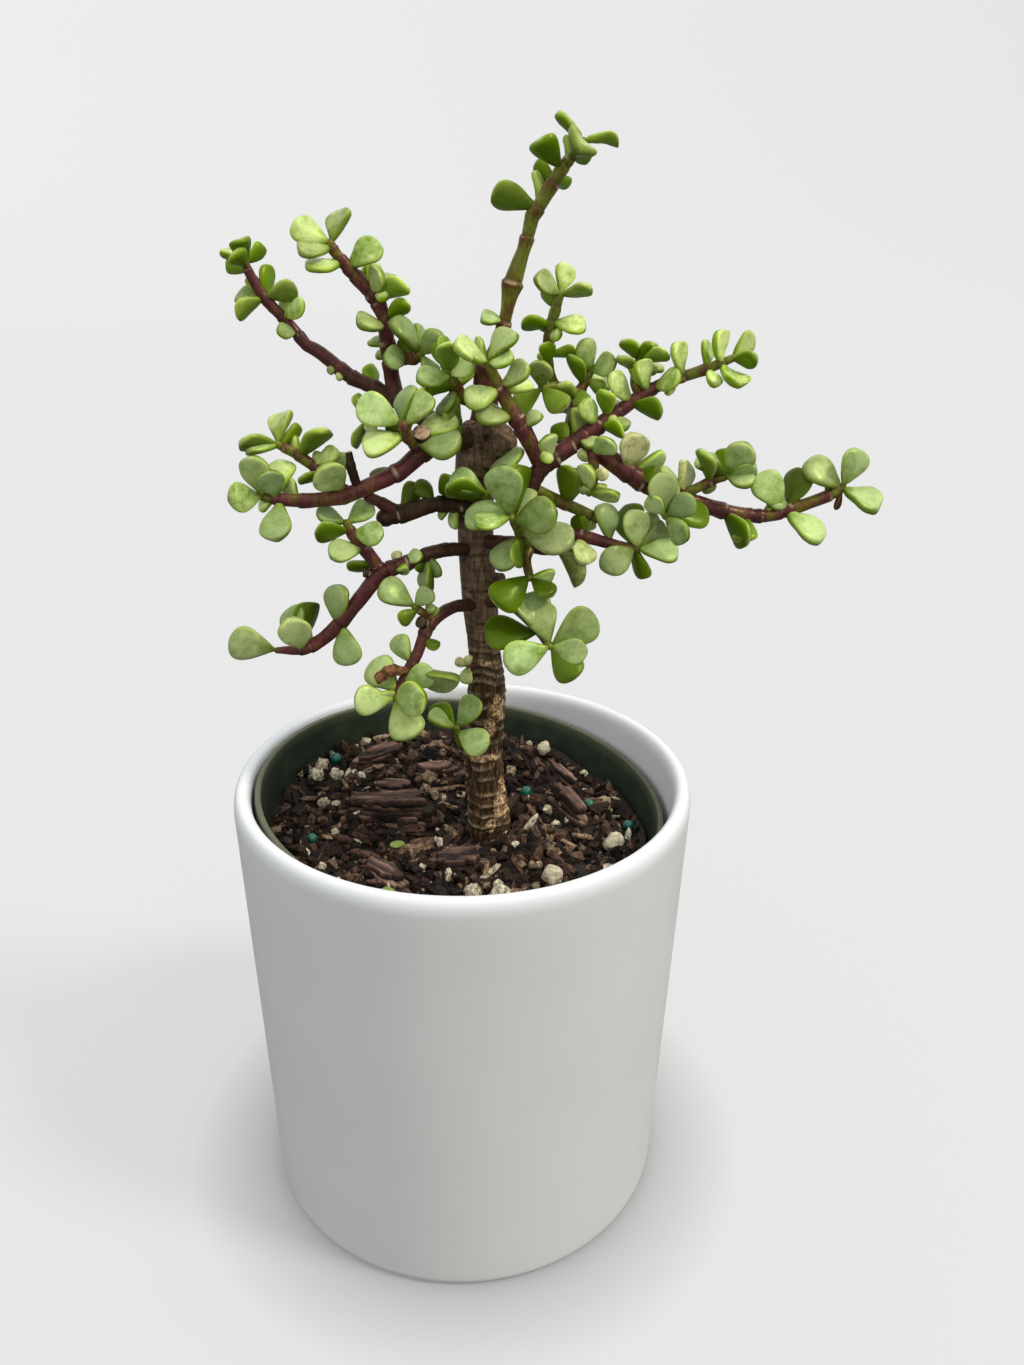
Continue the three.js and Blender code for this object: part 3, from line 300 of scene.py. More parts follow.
        "stubs": [[(-15.5, 166, 19, 0.8), (-19, 166.5, 21, 1.6), (-24, 163.5, 22, 1.3)]],
        "leaves": [
            (0.2, 330, -12, 8.5, 37), (0.8, 318, -22, 11.5, 8), (0.75, 245, 0, 7, 50), (0.6, 64, 10, 9, 18),
            (0.3, 102, -5, 13.5, 66), (1, 268, 15, 11, 5), (1, 82, 52, 12, 15), (1, 157, 25, 11.8, 5),
        ],
    },
    "sprout_base": {
        "tint": (1.8, 2.0), "lime_and_light": 0.3,
        "stem": [(1.5, 142, 4, 1.3), (-1, 144, 8, 1.2), (-2, 148.5, 11, 0.9)],
        "leaves": [(1, 38, 0, 10, 42), (1, 291, 5, 8.5, 50), (0.85, 117, 25, 10, 5), (1, 308, -25, 9.5, 165)],
    },
    "sprout_pale": {
        "tint": (1.0, 1.0), "lime_and_light": 0.6,
        "stem": [(3.5, 167.5, 4, 0.9), (1.5, 167.5, 6, 0.8)],
        "leaves": [(1, 290, 10, 4, 48, 1.0), (1, 0, 20, 3, 45, 1.0), (1, 193, 10, 5, 20, 0.6)],
    },
    "branch_front": {
        "tint": (0.5, 1.7), "lime_and_light": 0.35,
        "stem": [(6.5, 186.5, 3, 1.8), (13, 185.5, 9, 1.6), (20, 178.5, 19, 1.3), (24, 173.2, 25, 1)],
        "leaves": [
            (1, 341, -15, 12, 5), (0.9, 332, -15, 13.5, 30), (1, 55, 0, 13.8, 10), (0.73, 269, 0, 14, 145),
            (1, 249, 15, 12.5, 5), (1, 100, 15, 9.5, 8), (1, 139, 10, 10.5, 172),
        ],
    },
    "branch_right_mid": {
        "tint": (0.5, 1.0), "lime_and_light": 0.3,
        "stem": [
            (6.5, 203, 3, 1.9), (15, 202.5, 8, 1.9), (23, 201.5, 9, 2.1), (30, 204.5, 9, 1.8),
            (39, 202.5, 11, 1.5),
        ],
        "leaves": [
            (0.77, 172, 27, 8.5, 30, 0.5), (0.83, 330, -38, 7, 150), (1, 352, -12, 10.5, 38),
            (0.57, 148, 0, 12, 113, 0.4), (0.6, 144, -12, 7, 128),
        ],
    },
    "shoot_right_mid": {
        "tint": (1.1, 1.7), "lime_and_light": 0.35,
        "stem": [(39, 202.5, 11, 1.4), (43, 201.5, 12, 1.3), (46.5, 201, 13, 1.1)],
        "leaves": [
            (1, 355, 15, 10, 28, 0.3), (1, 24, -10, 10, 42), (1, 53, -26, 10, 30, 0.3),
            (0.85, 350, -33, 13, 145), (1, 100, 8, 10.5, 40), (0.9, 238, 28, 10.5, 5),
            (0.95, 176, -35, 9.5, 130),
        ],
    },
    "shoot_centre": {
        "tint": (1.5, 1.9), "lime_and_light": 0.3,
        "stem": [(17.5, 202, 9, 1.5), (15.5, 205, 13, 1.4), (13, 209.5, 18, 1)],
        "leaves": [
            (1, 347, 18, 13, 25), (1, 277, -26, 13, 35), (1, 261, 18, 9.5, 48), (0.95, 5, -45, 7, 65),
            (0.9, 78, 28, 12, 5), (0.6, 103, 20, 14.5, 32, 0.4), (0.92, 28, -33, 10, 40, 0.35),
            (1, 12, -28, 14, 110), (0.5, 215, 18, 11, 30), (0.5, 186, 27, 9, 108),
        ],
    },
    "shoot_centre_drop": {
        "tint": (1.2, 1.8), "lime_and_light": 0.2,
        "stem": [(18, 201.5, 9, 1.5), (17, 198, 12, 1.3), (18, 193, 16, 1)],
        "leaves": [(0.95, 230, 30, 12, 172), (1, 78, -35, 7, 48), (1, 124, 30, 8, 148)],
    },
    "shoot_trunk_front": {
        "tint": (1.7, 2.0), "lime_and_light": 0.3,
        "stem": [(4.5, 212.5, 4, 1.3), (6, 214.5, 9, 1.1), (6.5, 216, 11, 0.9)],
        "leaves": [
            (1, 290, 8, 10, 32), (1, 274, 27, 11, 117), (0.6, 275, -22, 13, 108), (1, 37, -20, 14.5, 60),
        ],
    },
    "branch_right_up": {
        "tint": (0.2, 1.1), "lime_and_light": 0.8,
        "stem": [
            (6, 210, 3, 2.4), (15.5, 214.5, 7, 2.3), (20, 222, 7, 2.3), (28, 228.5, 4, 2.2),
            (35, 233.5, 2, 2.1), (44.5, 240.5, -1, 1.7),
        ],
        "leaves": [
            (0.63, 4, -28, 9, 42), (0.78, 334, 28, 8, 49), (0.85, 345, 32, 8, 125), (0.88, 337, -55, 7, 45),
            (0.96, 318, 24, 9.5, 45), (0.96, 110, 27, 9, 125), (0.79, 104, 29, 8, 125),
            (0.87, 125, 27, 5.5, 50), (0.58, 329, -38, 7.5, 140), (0.47, 353, 40, 8, 40),
            (0.5, 275, 55, 6, 30), (0.65, 112, 33, 6.5, 50), (0.89, 211, 40, 4, 50),
        ],
    },
    "shoot_right_up": {
        "tint": (1.2, 1.9), "lime_and_light": 0.95,
        "stem": [(44.5, 240.5, -1, 1.7), (51, 244, -3, 1.5), (60, 247, -3, 1.4), (67.5, 250, -3, 1)],
        "leaves": [
            (0.12, 336, 30, 9, 50), (0.05, 340, -30, 9, 70), (0.2, 70, 31, 8.5, 37), (0.36, 170, -40, 4, 50),
            (0.5, 344, 31, 9.5, 60), (0.72, 354, -28, 7.5, 69), (0.72, 156, 42, 6.5, 52),
            (0.87, 351, 31, 9, 60), (0.87, 145, 36, 9.5, 60), (1, 36, -36, 8.5, 48), (1, 95, 35, 7, 135),
        ],
    },
    "shoot_right_up_twig": {
        "tint": (1.4, 1.8), "lime_and_light": 0.8,
        "stem": [(45, 241, -1, 1.4), (43.5, 243.5, -3, 1.3), (43.5, 246.5, -5, 1.2), (44, 249.5, -6, 1)],
        "leaves": [
            (1, 320, 30, 7, 120), (1, 354, -50, 7, 54), (1, 50, 34, 6.5, 125), (0.95, 77, 24, 8.5, 113),
            (0.7, 313, 40, 7, 116), (0.65, 81, -35, 6, 60), (0.8, 90, -38, 8, 67),
        ],
    },
    "shoot_crown": {
        "collar": 0.18, "tint": (0.9, 1.6), "lime_and_light": 0.75,
        "stem": [(20.5, 223, 7, 2.1), (16, 231.5, 10, 2.1), (11.5, 239, 10, 1.8), (6.5, 249, 10, 1.1)],
        "leaves": [
            (1, 42, 18, 9.5, 48), (1, 297, 27, 9.5, 60), (1, 337, -44, 7, 64), (0.98, 75, 42, 7.5, 50),
            (0.98, 292, 36, 6.5, 62), (0.8, 59, 18, 9, 48), (0.78, 80, -37, 9, 50), (0.76, 260, 24, 9.5, 50),
            (0.52, 271, 20, 10, 50), (0.36, 42, 15, 6, 50),
        ],
    },
    "shoot_crown_left": {
        "tint": (1.4, 1.8), "lime_and_light": 0.6,
        "stem": [(5, 239, -1, 1.8), (0, 240.5, 1, 1.8), (-2, 244, 4, 1.6), (-3, 246.5, 5, 1.2)],
        "leaves": [
            (1, 0, 45, 8.5, 172), (0.85, 62, 35, 7, 40), (0.8, 270, 31, 9, 45), (0.55, 262, 33, 9, 115),
            (0.5, 36, -22, 6, 70), (1, 358, -26, 9, 118), (1, 332, -32, 8, 127), (1, 335, -50, 8, 125),
            (0.45, 183, 29, 11, 119), (0.5, 211, 37, 8.5, 60),
        ],
    },
    "branch_back": {
        "tint": (1.3, 1.7), "lime_and_light": 0.8,
        "stem": [(26, 226.5, 4, 1.6), (27, 231.5, 0, 1.6), (29, 240, -7, 1.5), (32, 246.5, -10, 1.1)],
        "leaves": [
            (1, 342, 30, 9.5, 40), (1, 70, 33, 8.5, 22), (0.85, 326, 36, 9, 118), (0.85, 347, -35, 7, 114),
            (0.68, 304, 33, 7, 136), (0.78, 176, 55, 7, 168), (0.92, 133, 28, 6, 140),
            (0.62, 238, -55, 6, 140), (0.6, 254, -45, 6.5, 60), (0.9, 102, -40, 8, 50),
            (0.6, 110, -40, 8, 45),
        ],
    },
    "shoot_back_left": {
        "tint": (1.5, 1.9), "lime_and_light": 0.85,
        "stem": [(29.5, 241.5, -8, 1.3), (24, 243, -6, 1.2), (20, 242.5, -3, 1)],
        "leaves": [(1, 358, 38, 8.5, 12), (1, 126, 32, 9, 155), (1, 234, 25, 9.5, 135)],
    },
    "shoot_back_rise": {
        "tint": (1.6, 1.9), "lime_and_light": 0.9,
        "stem": [
            (27, 242.5, -8, 1.3), (23.5, 243.5, -10, 1.2), (21.5, 249, -9, 1.3), (22, 257, -9, 1.5),
            (24, 264.5, -9, 1.1),
        ],
        "leaves": [
            (1, 303, 27, 8.5, 42), (0.9, 315, -32, 6.5, 125), (1, 11, -22, 8, 36), (1, 81, 22, 8.5, 121),
            (0.77, 278, 21, 8, 123), (0.7, 325, -40, 4.5, 60), (0.77, 90, 26, 9, 55), (0.68, 72, 55, 4.5, 40),
            (0.55, 86, -21, 7.5, 110), (0.48, 0, 38, 6, 155), (0.48, 315, -37, 4, 60),
        ],
    },
    "shoot_right_inner": {
        "tint": (1.4, 1.8), "lime_and_light": 0.6,
        "stem": [(32, 230.5, 3, 1.5), (33.5, 226.5, 7, 1.4), (34, 220, 10, 1.2), (33, 216, 11, 0.9)],
        "leaves": [
            (1, 356, 28, 8, 52), (1, 98, 22, 8, 66), (1, 305, 50, 3.5, 40), (0.8, 110, -50, 5, 50),
            (0.6, 95, 48, 4.5, 20, 0.8), (0.5, 247, -38, 5, 55, 0.7), (0.42, 291, -45, 5, 55, 0.8),
            (0.33, 59, 42, 8, 20),
        ],
    },
    "twig_right_olive": {
        "tint": (1.6, 1.9), "lime_and_light": 0.5,
        "stem": [(18.5, 217, 7, 1.7), (26, 213.5, 5, 1.6), (33, 210.5, 5, 1.4), (35.5, 209, 6, 1.1)],
        "leaves": [(0.36, 8, 26, 10.5, 148), (0.4, 13, -24, 10, 125), (0.85, 212, -40, 4.5, 55)],
    },
    "branch_right_long": {
        "tint": (1.0, 1.05), "lime_and_light": 0.45,
        "stem": [
            (31, 230, 3, 2.2), (38.5, 224.5, 6, 2.6), (47, 219, 7, 2.6), (56, 215, 7, 2.3),
            (64, 212.5, 6, 2.1),
        ],
        "leaves": [
            (0.38, 9, 26, 10.5, 38, 1.0), (0.4, 61, -26, 10.5, 60), (0.42, 78, 18, 6.5, 122),
            (0.45, 104, -27, 7, 117), (0.78, 9, -15, 10, 66, 0.8),
        ],
    },
    "shoot_right_long_front": {
        "tint": (1.2, 1.7), "lime_and_light": 0.3,
        "stem": [(52.5, 216.5, 9, 1.4), (52.5, 213, 13, 1.3), (53.5, 210, 16, 1.1)],
        "leaves": [
            (0.9, 352, 23, 10.5, 10), (0.7, 5, -38, 12, 50), (1, 317, 29, 7, 36), (1, 57, 16, 8.5, 12),
            (0.9, 88, -38, 13, 142), (1, 143, 34, 9, 40),
        ],
    },
    "shoot_right_long_rise": {
        "tint": (1.3, 1.8), "lime_and_light": 0.4,
        "stem": [(56.5, 215, 7, 1.4), (64.5, 219, 6, 1.2), (69, 220.5, 6, 0.9)],
        "leaves": [
            (1, 30, 29, 10.5, 5), (1, 297, 22, 8, 128), (0.95, 306, -24, 9.5, 34), (0.97, 345, -32, 8, 127),
            (1, 65, 25, 8, 52), (0.95, 107, 30, 8, 46), (0.5, 348, 29, 9.5, 116), (0.6, 212, -38, 5, 55),
        ],
    },
    "shoot_right_long": {
        "tint": (1.0, 1.3), "lime_and_light": 0.25,
        "stem": [(64, 212.5, 6, 2.1), (72, 210.5, 5, 2), (80.5, 210, 5, 1.7), (89, 212.5, 4, 1.7)],
        "leaves": [
            (0.83, 322, 10, 12, 34), (0.87, 16, -14, 11.5, 145), (0.9, 295, 22, 6.5, 42),
            (0.85, 132, 14, 12.5, 48), (0.6, 48, -28, 4, 60), (0.2, 146, 14, 11, 131),
            (0.45, 188, 38, 8.5, 158),
        ],
    },
    "shoot_right_tip": {
        "tint": (1.2, 1.6), "lime_and_light": 0.45,
        "stem": [(89, 212.5, 4, 1.7), (96.5, 215.5, 4, 1.5), (99.5, 217.5, 4, 1.2)],
        "leaves": [
            (0.95, 307, 15, 11.5, 44), (1, 21, 8, 10.5, 32), (1, 117, 17, 11, 58),
            (1, 190, 15, 6, 70, DRIED), (0.45, 12, -38, 6.5, 50),
        ],
    },
}

# What lies on the mix: x, y, length, width, height, and the turn about Z. A bark chip's last value is how
# many degrees its far end rises. A bead has only its x and y.
BARK_CHIPS = [
    (-23, 5, 33, 12, 9, -8, 0), (-8, 27, 18, 5, 4, 3, 0), (-27.5, 34.5, 22, 7, 4.5, 34, 6),
    (-22, 17, 13, 7, 4, -6, 0), (31, 8.5, 22, 7.5, 7, -62, -8), (31.5, 31, 18, 3.5, 3, -62, 0),
    (-21.5, -26, 20, 7.5, 5, -48, 0), (-2, -19.5, 17, 10, 5, -12, 4),
]
PUMICE_STONES = [(26.5, 42, 5.4, 4.8, 5.6, 20), (43, -11, 7, 6, 6.5, 40), (24, -27, 7, 6, 6.5, 10)]
BEADS = [(38, 10), (19.5, 20), (-40.5, 31)]

# Pale grains that lie by themselves: x, y, how wide, and the kind of crumb.
PALE_GRAINS = [
    (-32, 42, 3.2, 0.95), (39, 33, 2.8, 1.0), (-44.5, 25, 5.2, 0.93), (-45.5, 20.5, 4.2, 0.98),
    (-39.5, 22, 4.4, 1.0), (-35.5, 22, 3.8, 1.0), (-32, 21.5, 3.2, 0.98), (-42, 9, 3.8, 0.92),
    (42.5, 13, 4.6, 0.9), (11, -2.5, 3.6, 1.0), (-4, -29, 2.6, 0.93), (9, -30.5, 2.8, 0.97),
    (2, -35, 4.4, 0.96), (9.5, -35, 5, 1.0), (19.5, -21, 3.4, 0.88), (-37.5, -3.5, 2.6, 0.95),
    (38, 22, 2.4, 1.0), (-28, -6, 2.2, 0.97), (-31, -8, 2, 0.97), (19.5, -27.5, 2.4, 0.93),
    (31, 3, 2.2, 0.97), (-12, 20, 3, 0.9), (15, 30, 3.4, 0.9), (22, 47, 2.6, 0.93),
]
# Splinters that lie by themselves: x, y, length, width, turn about Z, and the kind of crumb.
LOOSE_SPLINTERS = [
    (31, -9, 9, 1.3, -50, 0.87), (-7, 20, 16, 1.6, 12, 0.80), (34.5, -5, 6, 1.6, -20, 0.86),
    (20, 8, 12, 2.2, 70, 0.5), (-28, -14, 10, 2.4, -30, 0.6), (14, 14, 13, 3, 60, 0.45),
    (-40, 14, 9, 2, 40, 0.5), (27, -20, 12, 2.6, -55, 0.62),
]
# Two more prills half sunk in the mix: x, y. Two leaflets dropped on it: x, y, length, turn about Z.
SUNKEN_PRILLS = [(-43.5, -9), (48.5, -1)]
FALLEN_LEAFLETS = [(-19, -13.5, 4.4, 20), (-20.5, -35, 4.4, -15)]

# The trunk's rings: height of each, where a leaf pair once stood.
TRUNK_RINGS = [
    119, 122.5, 126, 129.5, 134.5, 138, 141, 145.5, 149.5, 152.5, 157, 160, 163.5, 166, 168.5, 173, 177,
    183, 191, 200.5, 211, 222,
]
# Flaked patches: height, bearing from the front towards the right, how tall and how wide.
TRUNK_SCABS = [
    (156, 38, 4.5, 30), (151.5, 20, 3, 24), (124.5, 48, 4.5, 30), (131.5, 66, 3, 14), (141, 20, 1.2, 70),
    (120, 10, 2.2, 18), (170, 10, 1.0, 60),
]


# ---------------------------------------------------------------- small sums
def unit(vectors):
    """Each vector divided by its own length."""
    return vectors / np.linalg.norm(vectors, axis=-1, keepdims=True)


def dot(one, other):
    """The sum of the products of the two vectors' parts, kept as a last axis of one."""
    return (one * other).sum(axis=-1, keepdims=True)


def square_to(vectors, axis):
    """What is left of each vector once its share along a unit axis is taken away, at length one."""
    return unit(vectors - dot(vectors, axis) * axis)


def smooth_step(values, start, end):
    """Zero before start, one after end, and an S curve between them."""
    share = np.clip((values - start) / (end - start), 0, 1)
    return share * share * (3 - 2 * share)


def turned_about(axis, degrees):
    """The 3 x 3 rotation about X, Y or Z."""
    return np.array(Matrix.Rotation(np.radians(degrees), 3, axis))


def lattice_noise(points, cell, seed):
    """Value noise from 0 to 1: a random number on each corner of a cubic lattice, blended by S curves."""
    place = points / cell
    corner = np.floor(place)
    share = place - corner
    share = share * share * (3 - 2 * share)
    total = np.zeros(points.shape[:-1])
    for step in np.ndindex(2, 2, 2):
        wave = np.sin((corner + step) @ np.array([127.1, 311.7, 74.7]) + 19.19 * seed) * 43758.5453
        weight = np.where(step, share, 1 - share).prod(axis=-1)
        total += weight * (wave - np.floor(wave))
    return total


def rough(points, cell, seed, octaves=3):
    """Lattice noise at halving cell sizes and halving heights, summed and centred on zero."""
    layers = [lattice_noise(points, cell / 2**k, seed + k) / 2**k for k in range(octaves)]
    return sum(layers) - (1 - 0.5**octaves)


# ---------------------------------------------------------------- how the tree is seen from its front
UP = np.array([0.0, 0.0, 1.0])
GAZE = unit(np.array([
    np.sin(np.radians(GAZE_RIGHT)), np.cos(np.radians(GAZE_RIGHT)), -np.tan(np.radians(GAZE_DOWN)),
]))
GAZE_SIDE = unit(np.cross(GAZE, UP))
GAZE_TOP = np.cross(GAZE_SIDE, GAZE)


def places(rows):
    """Stem rows as points: the upright plane's point, moved towards the eye by the row's front."""
    across, up, front = np.array(rows, float)[:, :3].T
    flat = np.stack([across, 0 * across, up], axis=-1)
    return flat + (EYE - flat) * (front / -EYE[1])[:, None]


def along(values, shares):
    """The uniform Catmull-Rom curve through the values, each of which is an equal share on from the last."""
    ends = np.vstack([2 * values[0] - values[1], values, 2 * values[-1] - values[-2]])
    spot = np.clip(shares, 0, 1) * (len(values) - 1)
    first = np.minimum(spot.astype(int), len(values) - 2)
    w = (spot - first)[:, None]
    a, b, c, d = (ends[first + k] for k in range(4))
    return 0.5 * (2 * b + (c - a) * w + (2 * a - 5 * b + 4 * c - d) * w**2 + (3 * b - a - 3 * c + d) * w**3)


def heading(values, shares, reach=0.01):
    """The curve's direction: the step between a little before each share and a little after it."""
    return unit(along(values, shares + reach) - along(values, shares - reach))


# ---------------------------------------------------------------- meshes
def mesh_of(name, points, faces, marks=()):
    """An object with its place in its mesh. Points are in millimetres, and marks are named point values."""
    mesh = bpy.data.meshes.new(name)
    mesh.from_pydata((points.reshape(-1, 3) * MM).tolist(), [], faces)
    for mark, values in dict(marks).items():
        layer = mesh.attributes.new(mark, "FLOAT", "POINT")
        layer.data.foreach_set("value", np.asarray(values, np.float32).ravel())
    mesh.shade_smooth()
    made = bpy.data.objects.new(name, mesh)
    bpy.context.scene.collection.objects.link(made)
    return made


def tubes(name, rings, marks=()):
    """Closed tubes from an array (tube, ring, side, xyz): neighbours join, and each end closes on a pole.

    A ring runs anticlockwise as seen from the tube's far end, so that the faces point outwards.
    """
    count, steps, sides, _ = rings.shape
    ends = [0, -1]
    points = np.concatenate([rings.reshape(count, -1, 3), rings[:, ends].mean(axis=2)], axis=1)
    step, side = np.meshgrid(np.arange(steps - 1), np.arange(sides), indexing="ij")
    here = step * sides + side
    after = step * sides + (side + 1) % sides
    quads = np.stack([here, after, after + sides, here + sides], axis=-1).reshape(-1, 4)
    side, last = np.arange(sides), (steps - 1) * sides
    turn = (side + 1) % sides
    foot = np.stack([turn, side, np.full(sides, steps * sides)], axis=-1)
    tip = np.stack([side + last, turn + last, np.full(sides, steps * sides + 1)], axis=-1)
    offsets = np.arange(count) * (steps * sides + 2)
    faces = []
    for part in (quads, foot, tip):
        faces += (part[None] + offsets[:, None, None]).reshape(-1, part.shape[1]).tolist()
    closed = {}
    for mark, values in dict(marks).items():
        values = np.broadcast_to(values, rings.shape[:3])
        poles = values[:, ends].mean(axis=2)
        closed[mark] = np.concatenate([values.reshape(count, -1), poles], axis=1)
    return mesh_of(name, points, faces, closed)


def joined_with(first, *others):
    """One object of several, with the first one's name."""
    with bpy.context.temp_override(active_object=first, selected_editable_objects=[first, *others]):
        bpy.ops.object.join()
    return first


def stands_for(made, node, material):
    """The piece rides on the root body, stands for its CAD node, whose part it hides, and takes the finish it
    is given.
    """
    made.data.materials.clear()
    made.data.materials.append(material)
    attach(made, "root")
    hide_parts(node)
    return made


# ---------------------------------------------------------------- materials
# What the dielectric sheen of wood and of leaves is tinted with.
WARM_SHEEN = (1.0, 0.68, 0.42, 1.0)
LEAF_SHEEN = (0.80, 1.0, 0.30, 1.0)
# The sockets by which a Mix node blends colours. Its others have the same names.
MIX_SHARE, MIX_ONE, MIX_OTHER, MIX_RESULT = 0, 6, 7, 2


class Finish:
    """A material's nodes, added one after another."""

    def __init__(self, name, roughness, **sockets):
        self.material = bpy.data.materials.new(name)
        self.material.use_nodes = True
        self.nodes = self.material.node_tree.nodes
        self.links = self.material.node_tree.links
        self.shader = self.nodes["Principled BSDF"]
        self.shader.inputs["Roughness"].default_value = roughness
        for socket, value in sockets.items():
            self.shader.inputs[socket.replace("_", " ")].default_value = value
        self.object_place = self.nodes.new("ShaderNodeTexCoord").outputs["Object"]

    def put(self, source, socket):
        """Links an output to a socket, or sets the socket to a number or a colour."""
        if isinstance(source, bpy.types.NodeSocket):
            self.links.new(source, socket)
        else:
            socket.default_value = source

    def mark(self, name):
        """A point value of the mesh."""
        node = self.nodes.new("ShaderNodeAttribute")
        node.attribute_name = name
        return node.outputs["Fac"]

    def noise(self, scale, detail=3, stretch=(1, 1, 1), roughness=0.55):
        """Noise on the object's own coordinates, with scale in cells per metre."""
        mapping = self.nodes.new("ShaderNodeMapping")
        mapping.inputs["Scale"].default_value = stretch
        self.links.new(self.object_place, mapping.inputs["Vector"])
        node = self.nodes.new("ShaderNodeTexNoise")
        node.inputs["Scale"].default_value = scale
        node.inputs["Detail"].default_value = detail
        node.inputs["Roughness"].default_value = roughness
        self.links.new(mapping.outputs["Vector"], node.inputs["Vector"])
        return node.outputs["Fac"]

    def cells(self, scale):
        """Distance to the nearest of scattered points, with scale in points per metre."""
        node = self.nodes.new("ShaderNodeTexVoronoi")
        node.inputs["Scale"].default_value = scale
        self.links.new(self.object_place, node.inputs["Vector"])
        return node.outputs["Distance"]

    def ramp(self, source, *stops):
        """Colours or greys by value: each stop is (position, colour or grey)."""
        node = self.nodes.new("ShaderNodeValToRGB")
        elements = node.color_ramp.elements
        while len(elements) < len(stops):
            elements.new(0.5)
        for element, (position, colour) in zip(elements, stops):
            element.position = position
            element.color = (*colour, 1) if isinstance(colour, tuple) else (colour, colour, colour, 1)
        self.links.new(source, node.inputs["Fac"])
        return node.outputs["Color"]

    def sum(self, operation, one, other):
        """One number worked out from two."""
        node = self.nodes.new("ShaderNodeMath")
        node.operation = operation
        node.use_clamp = operation in ("ADD", "SUBTRACT")
        self.put(one, node.inputs[0])
        self.put(other, node.inputs[1])
        return node.outputs[0]

    def mix(self, share, one, other, blend="MIX"):
        """Two colours mixed by a share, or blended in another way."""
        node = self.nodes.new("ShaderNodeMix")
        node.data_type = "RGBA"
        node.blend_type = blend
        self.put(share, node.inputs[MIX_SHARE])
        self.put((*one, 1) if isinstance(one, tuple) else one, node.inputs[MIX_ONE])
        self.put((*other, 1) if isinstance(other, tuple) else other, node.inputs[MIX_OTHER])
        return node.outputs[MIX_RESULT]

    def colour(self, source):
        """Gives the surface its colour."""
        self.links.new(source, self.shader.inputs["Base Color"])

    def gloss(self, source):
        """Gives the surface its roughness."""
        self.links.new(source, self.shader.inputs["Roughness"])

    def bump(self, source, strength, depth_mm):
        """Fine relief from a value, with its full height in millimetres."""
        node = self.nodes.new("ShaderNodeBump")
        node.inputs["Strength"].default_value = strength
        node.inputs["Distance"].default_value = depth_mm * MM
        self.links.new(source, node.inputs["Height"])
        self.links.new(node.outputs["Normal"], self.shader.inputs["Normal"])


def planter_glaze():
    """White satin glaze with a faint unevenness. The lip and the inside are painted whiter than the outer
    wall: painted light, for the light that falls on them.
    """
    finish = Finish("planter_glaze", 0.42, Specular_IOR_Level=0.4)
    cloud = finish.noise(22, 4)
    outer = finish.ramp(cloud, (0.3, (0.80, 0.782, 0.75)), (0.7, (0.835, 0.815, 0.785)))
    # painted light: the lip and the inside take a whiter colour than the outer wall
    finish.colour(finish.mix(finish.mark("lip"), outer, (0.88, 0.885, 0.885)))
    finish.gloss(finish.ramp(finish.noise(60, 3), (0.35, 0.38), (0.65, 0.48)))
    finish.bump(finish.noise(900, 2), 0.15, 0.03)
    return finish.material


def pot_plastic():
    """Dark green moulded plastic with dust and fine scuffs, and a painted highlight: a light olive line along
    the top of its lip.
    """
    finish = Finish("pot_plastic", 0.5, Specular_IOR_Level=0.3)
    dust = finish.ramp(finish.noise(140, 5), (0.45, 0.0), (0.75, 1.0))
    wall = finish.mix(dust, (0.021, 0.033, 0.018), (0.042, 0.058, 0.034))
    # painted highlight: the top of the lip is a light olive
    finish.colour(finish.mix(finish.mark("lip"), wall, (0.125, 0.130, 0.075)))
    finish.gloss(finish.ramp(finish.noise(300, 4), (0.3, 0.38), (0.7, 0.6)))
    finish.bump(finish.noise(1400, 2), 0.2, 0.04)
    return finish.material


def mix_earth():
    """Damp peat between the crumbs: nearly black, with brown fibres."""
    finish = Finish("mix_earth", 0.9)
    fibre = finish.noise(700, 6, roughness=0.7)
    finish.colour(finish.ramp(fibre, (0.35, (0.006, 0.004, 0.003)), (0.7, (0.045, 0.024, 0.014))))
    finish.bump(finish.noise(1500, 5, roughness=0.7), 0.8, 0.4)
    return finish.material


def crumb_finish():
    """Crumbs by kind, from dark peat through red-brown bark and tan splinters to pale pumice."""
    finish = Finish("mix_crumbs", 0.85, Specular_IOR_Level=0.3)
    kind = finish.mark("kind")
    grain = finish.noise(1100, 6, stretch=(1, 0.45, 1), roughness=0.75)
    body = finish.ramp(
        kind, (0.0, (0.009, 0.005, 0.003)), (0.35, (0.032, 0.016, 0.009)), (0.55, (0.090, 0.043, 0.025)),
        (0.7, (0.14, 0.078, 0.052)), (0.8, (0.26, 0.17, 0.10)), (0.88, (0.40, 0.27, 0.16)),
        (1.0, (0.76, 0.68, 0.49)),
    )
    shade = finish.ramp(grain, (0.36, 0.10), (0.5, 0.8), (0.66, 1.7))
    finish.colour(finish.mix(1.0, body, shade, "MULTIPLY"))
    finish.bump(grain, 0.7, 0.3)
    return finish.material


def bark_chip_finish():
    """Split fir bark: red-brown plates with pinkish worn faces and fine grain, and painted shade in the gaps
    between the plates.
    """
    finish = Finish("split_bark", 0.8, Specular_IOR_Level=0.35)
    grain = finish.noise(520, 6, roughness=0.72)
    mixed = finish.sum("ADD", finish.sum("MULTIPLY", finish.mark("layer"), 0.62),
                       finish.sum("MULTIPLY", grain, 0.42))
    finish.colour(finish.ramp(
        mixed, (0.26, (0.010, 0.006, 0.004)), (0.42, (0.055, 0.028, 0.019)), (0.56, (0.125, 0.064, 0.044)),
        (0.70, (0.215, 0.125, 0.09)), (0.84, (0.36, 0.25, 0.19)),
    ))
    finish.bump(finish.noise(1600, 5, roughness=0.7), 0.6, 0.25)
    return finish.material


def pumice_finish():
    """Pale porous stone with dark pits and some earth on it."""
    finish = Finish("pumice", 0.95)
    grain = finish.noise(900, 6, roughness=0.75)
    finish.colour(finish.ramp(
        grain, (0.3, (0.16, 0.11, 0.06)), (0.43, (0.55, 0.46, 0.30)), (0.62, (0.80, 0.74, 0.56)),
    ))
    finish.bump(grain, 0.9, 0.5)
    return finish.material


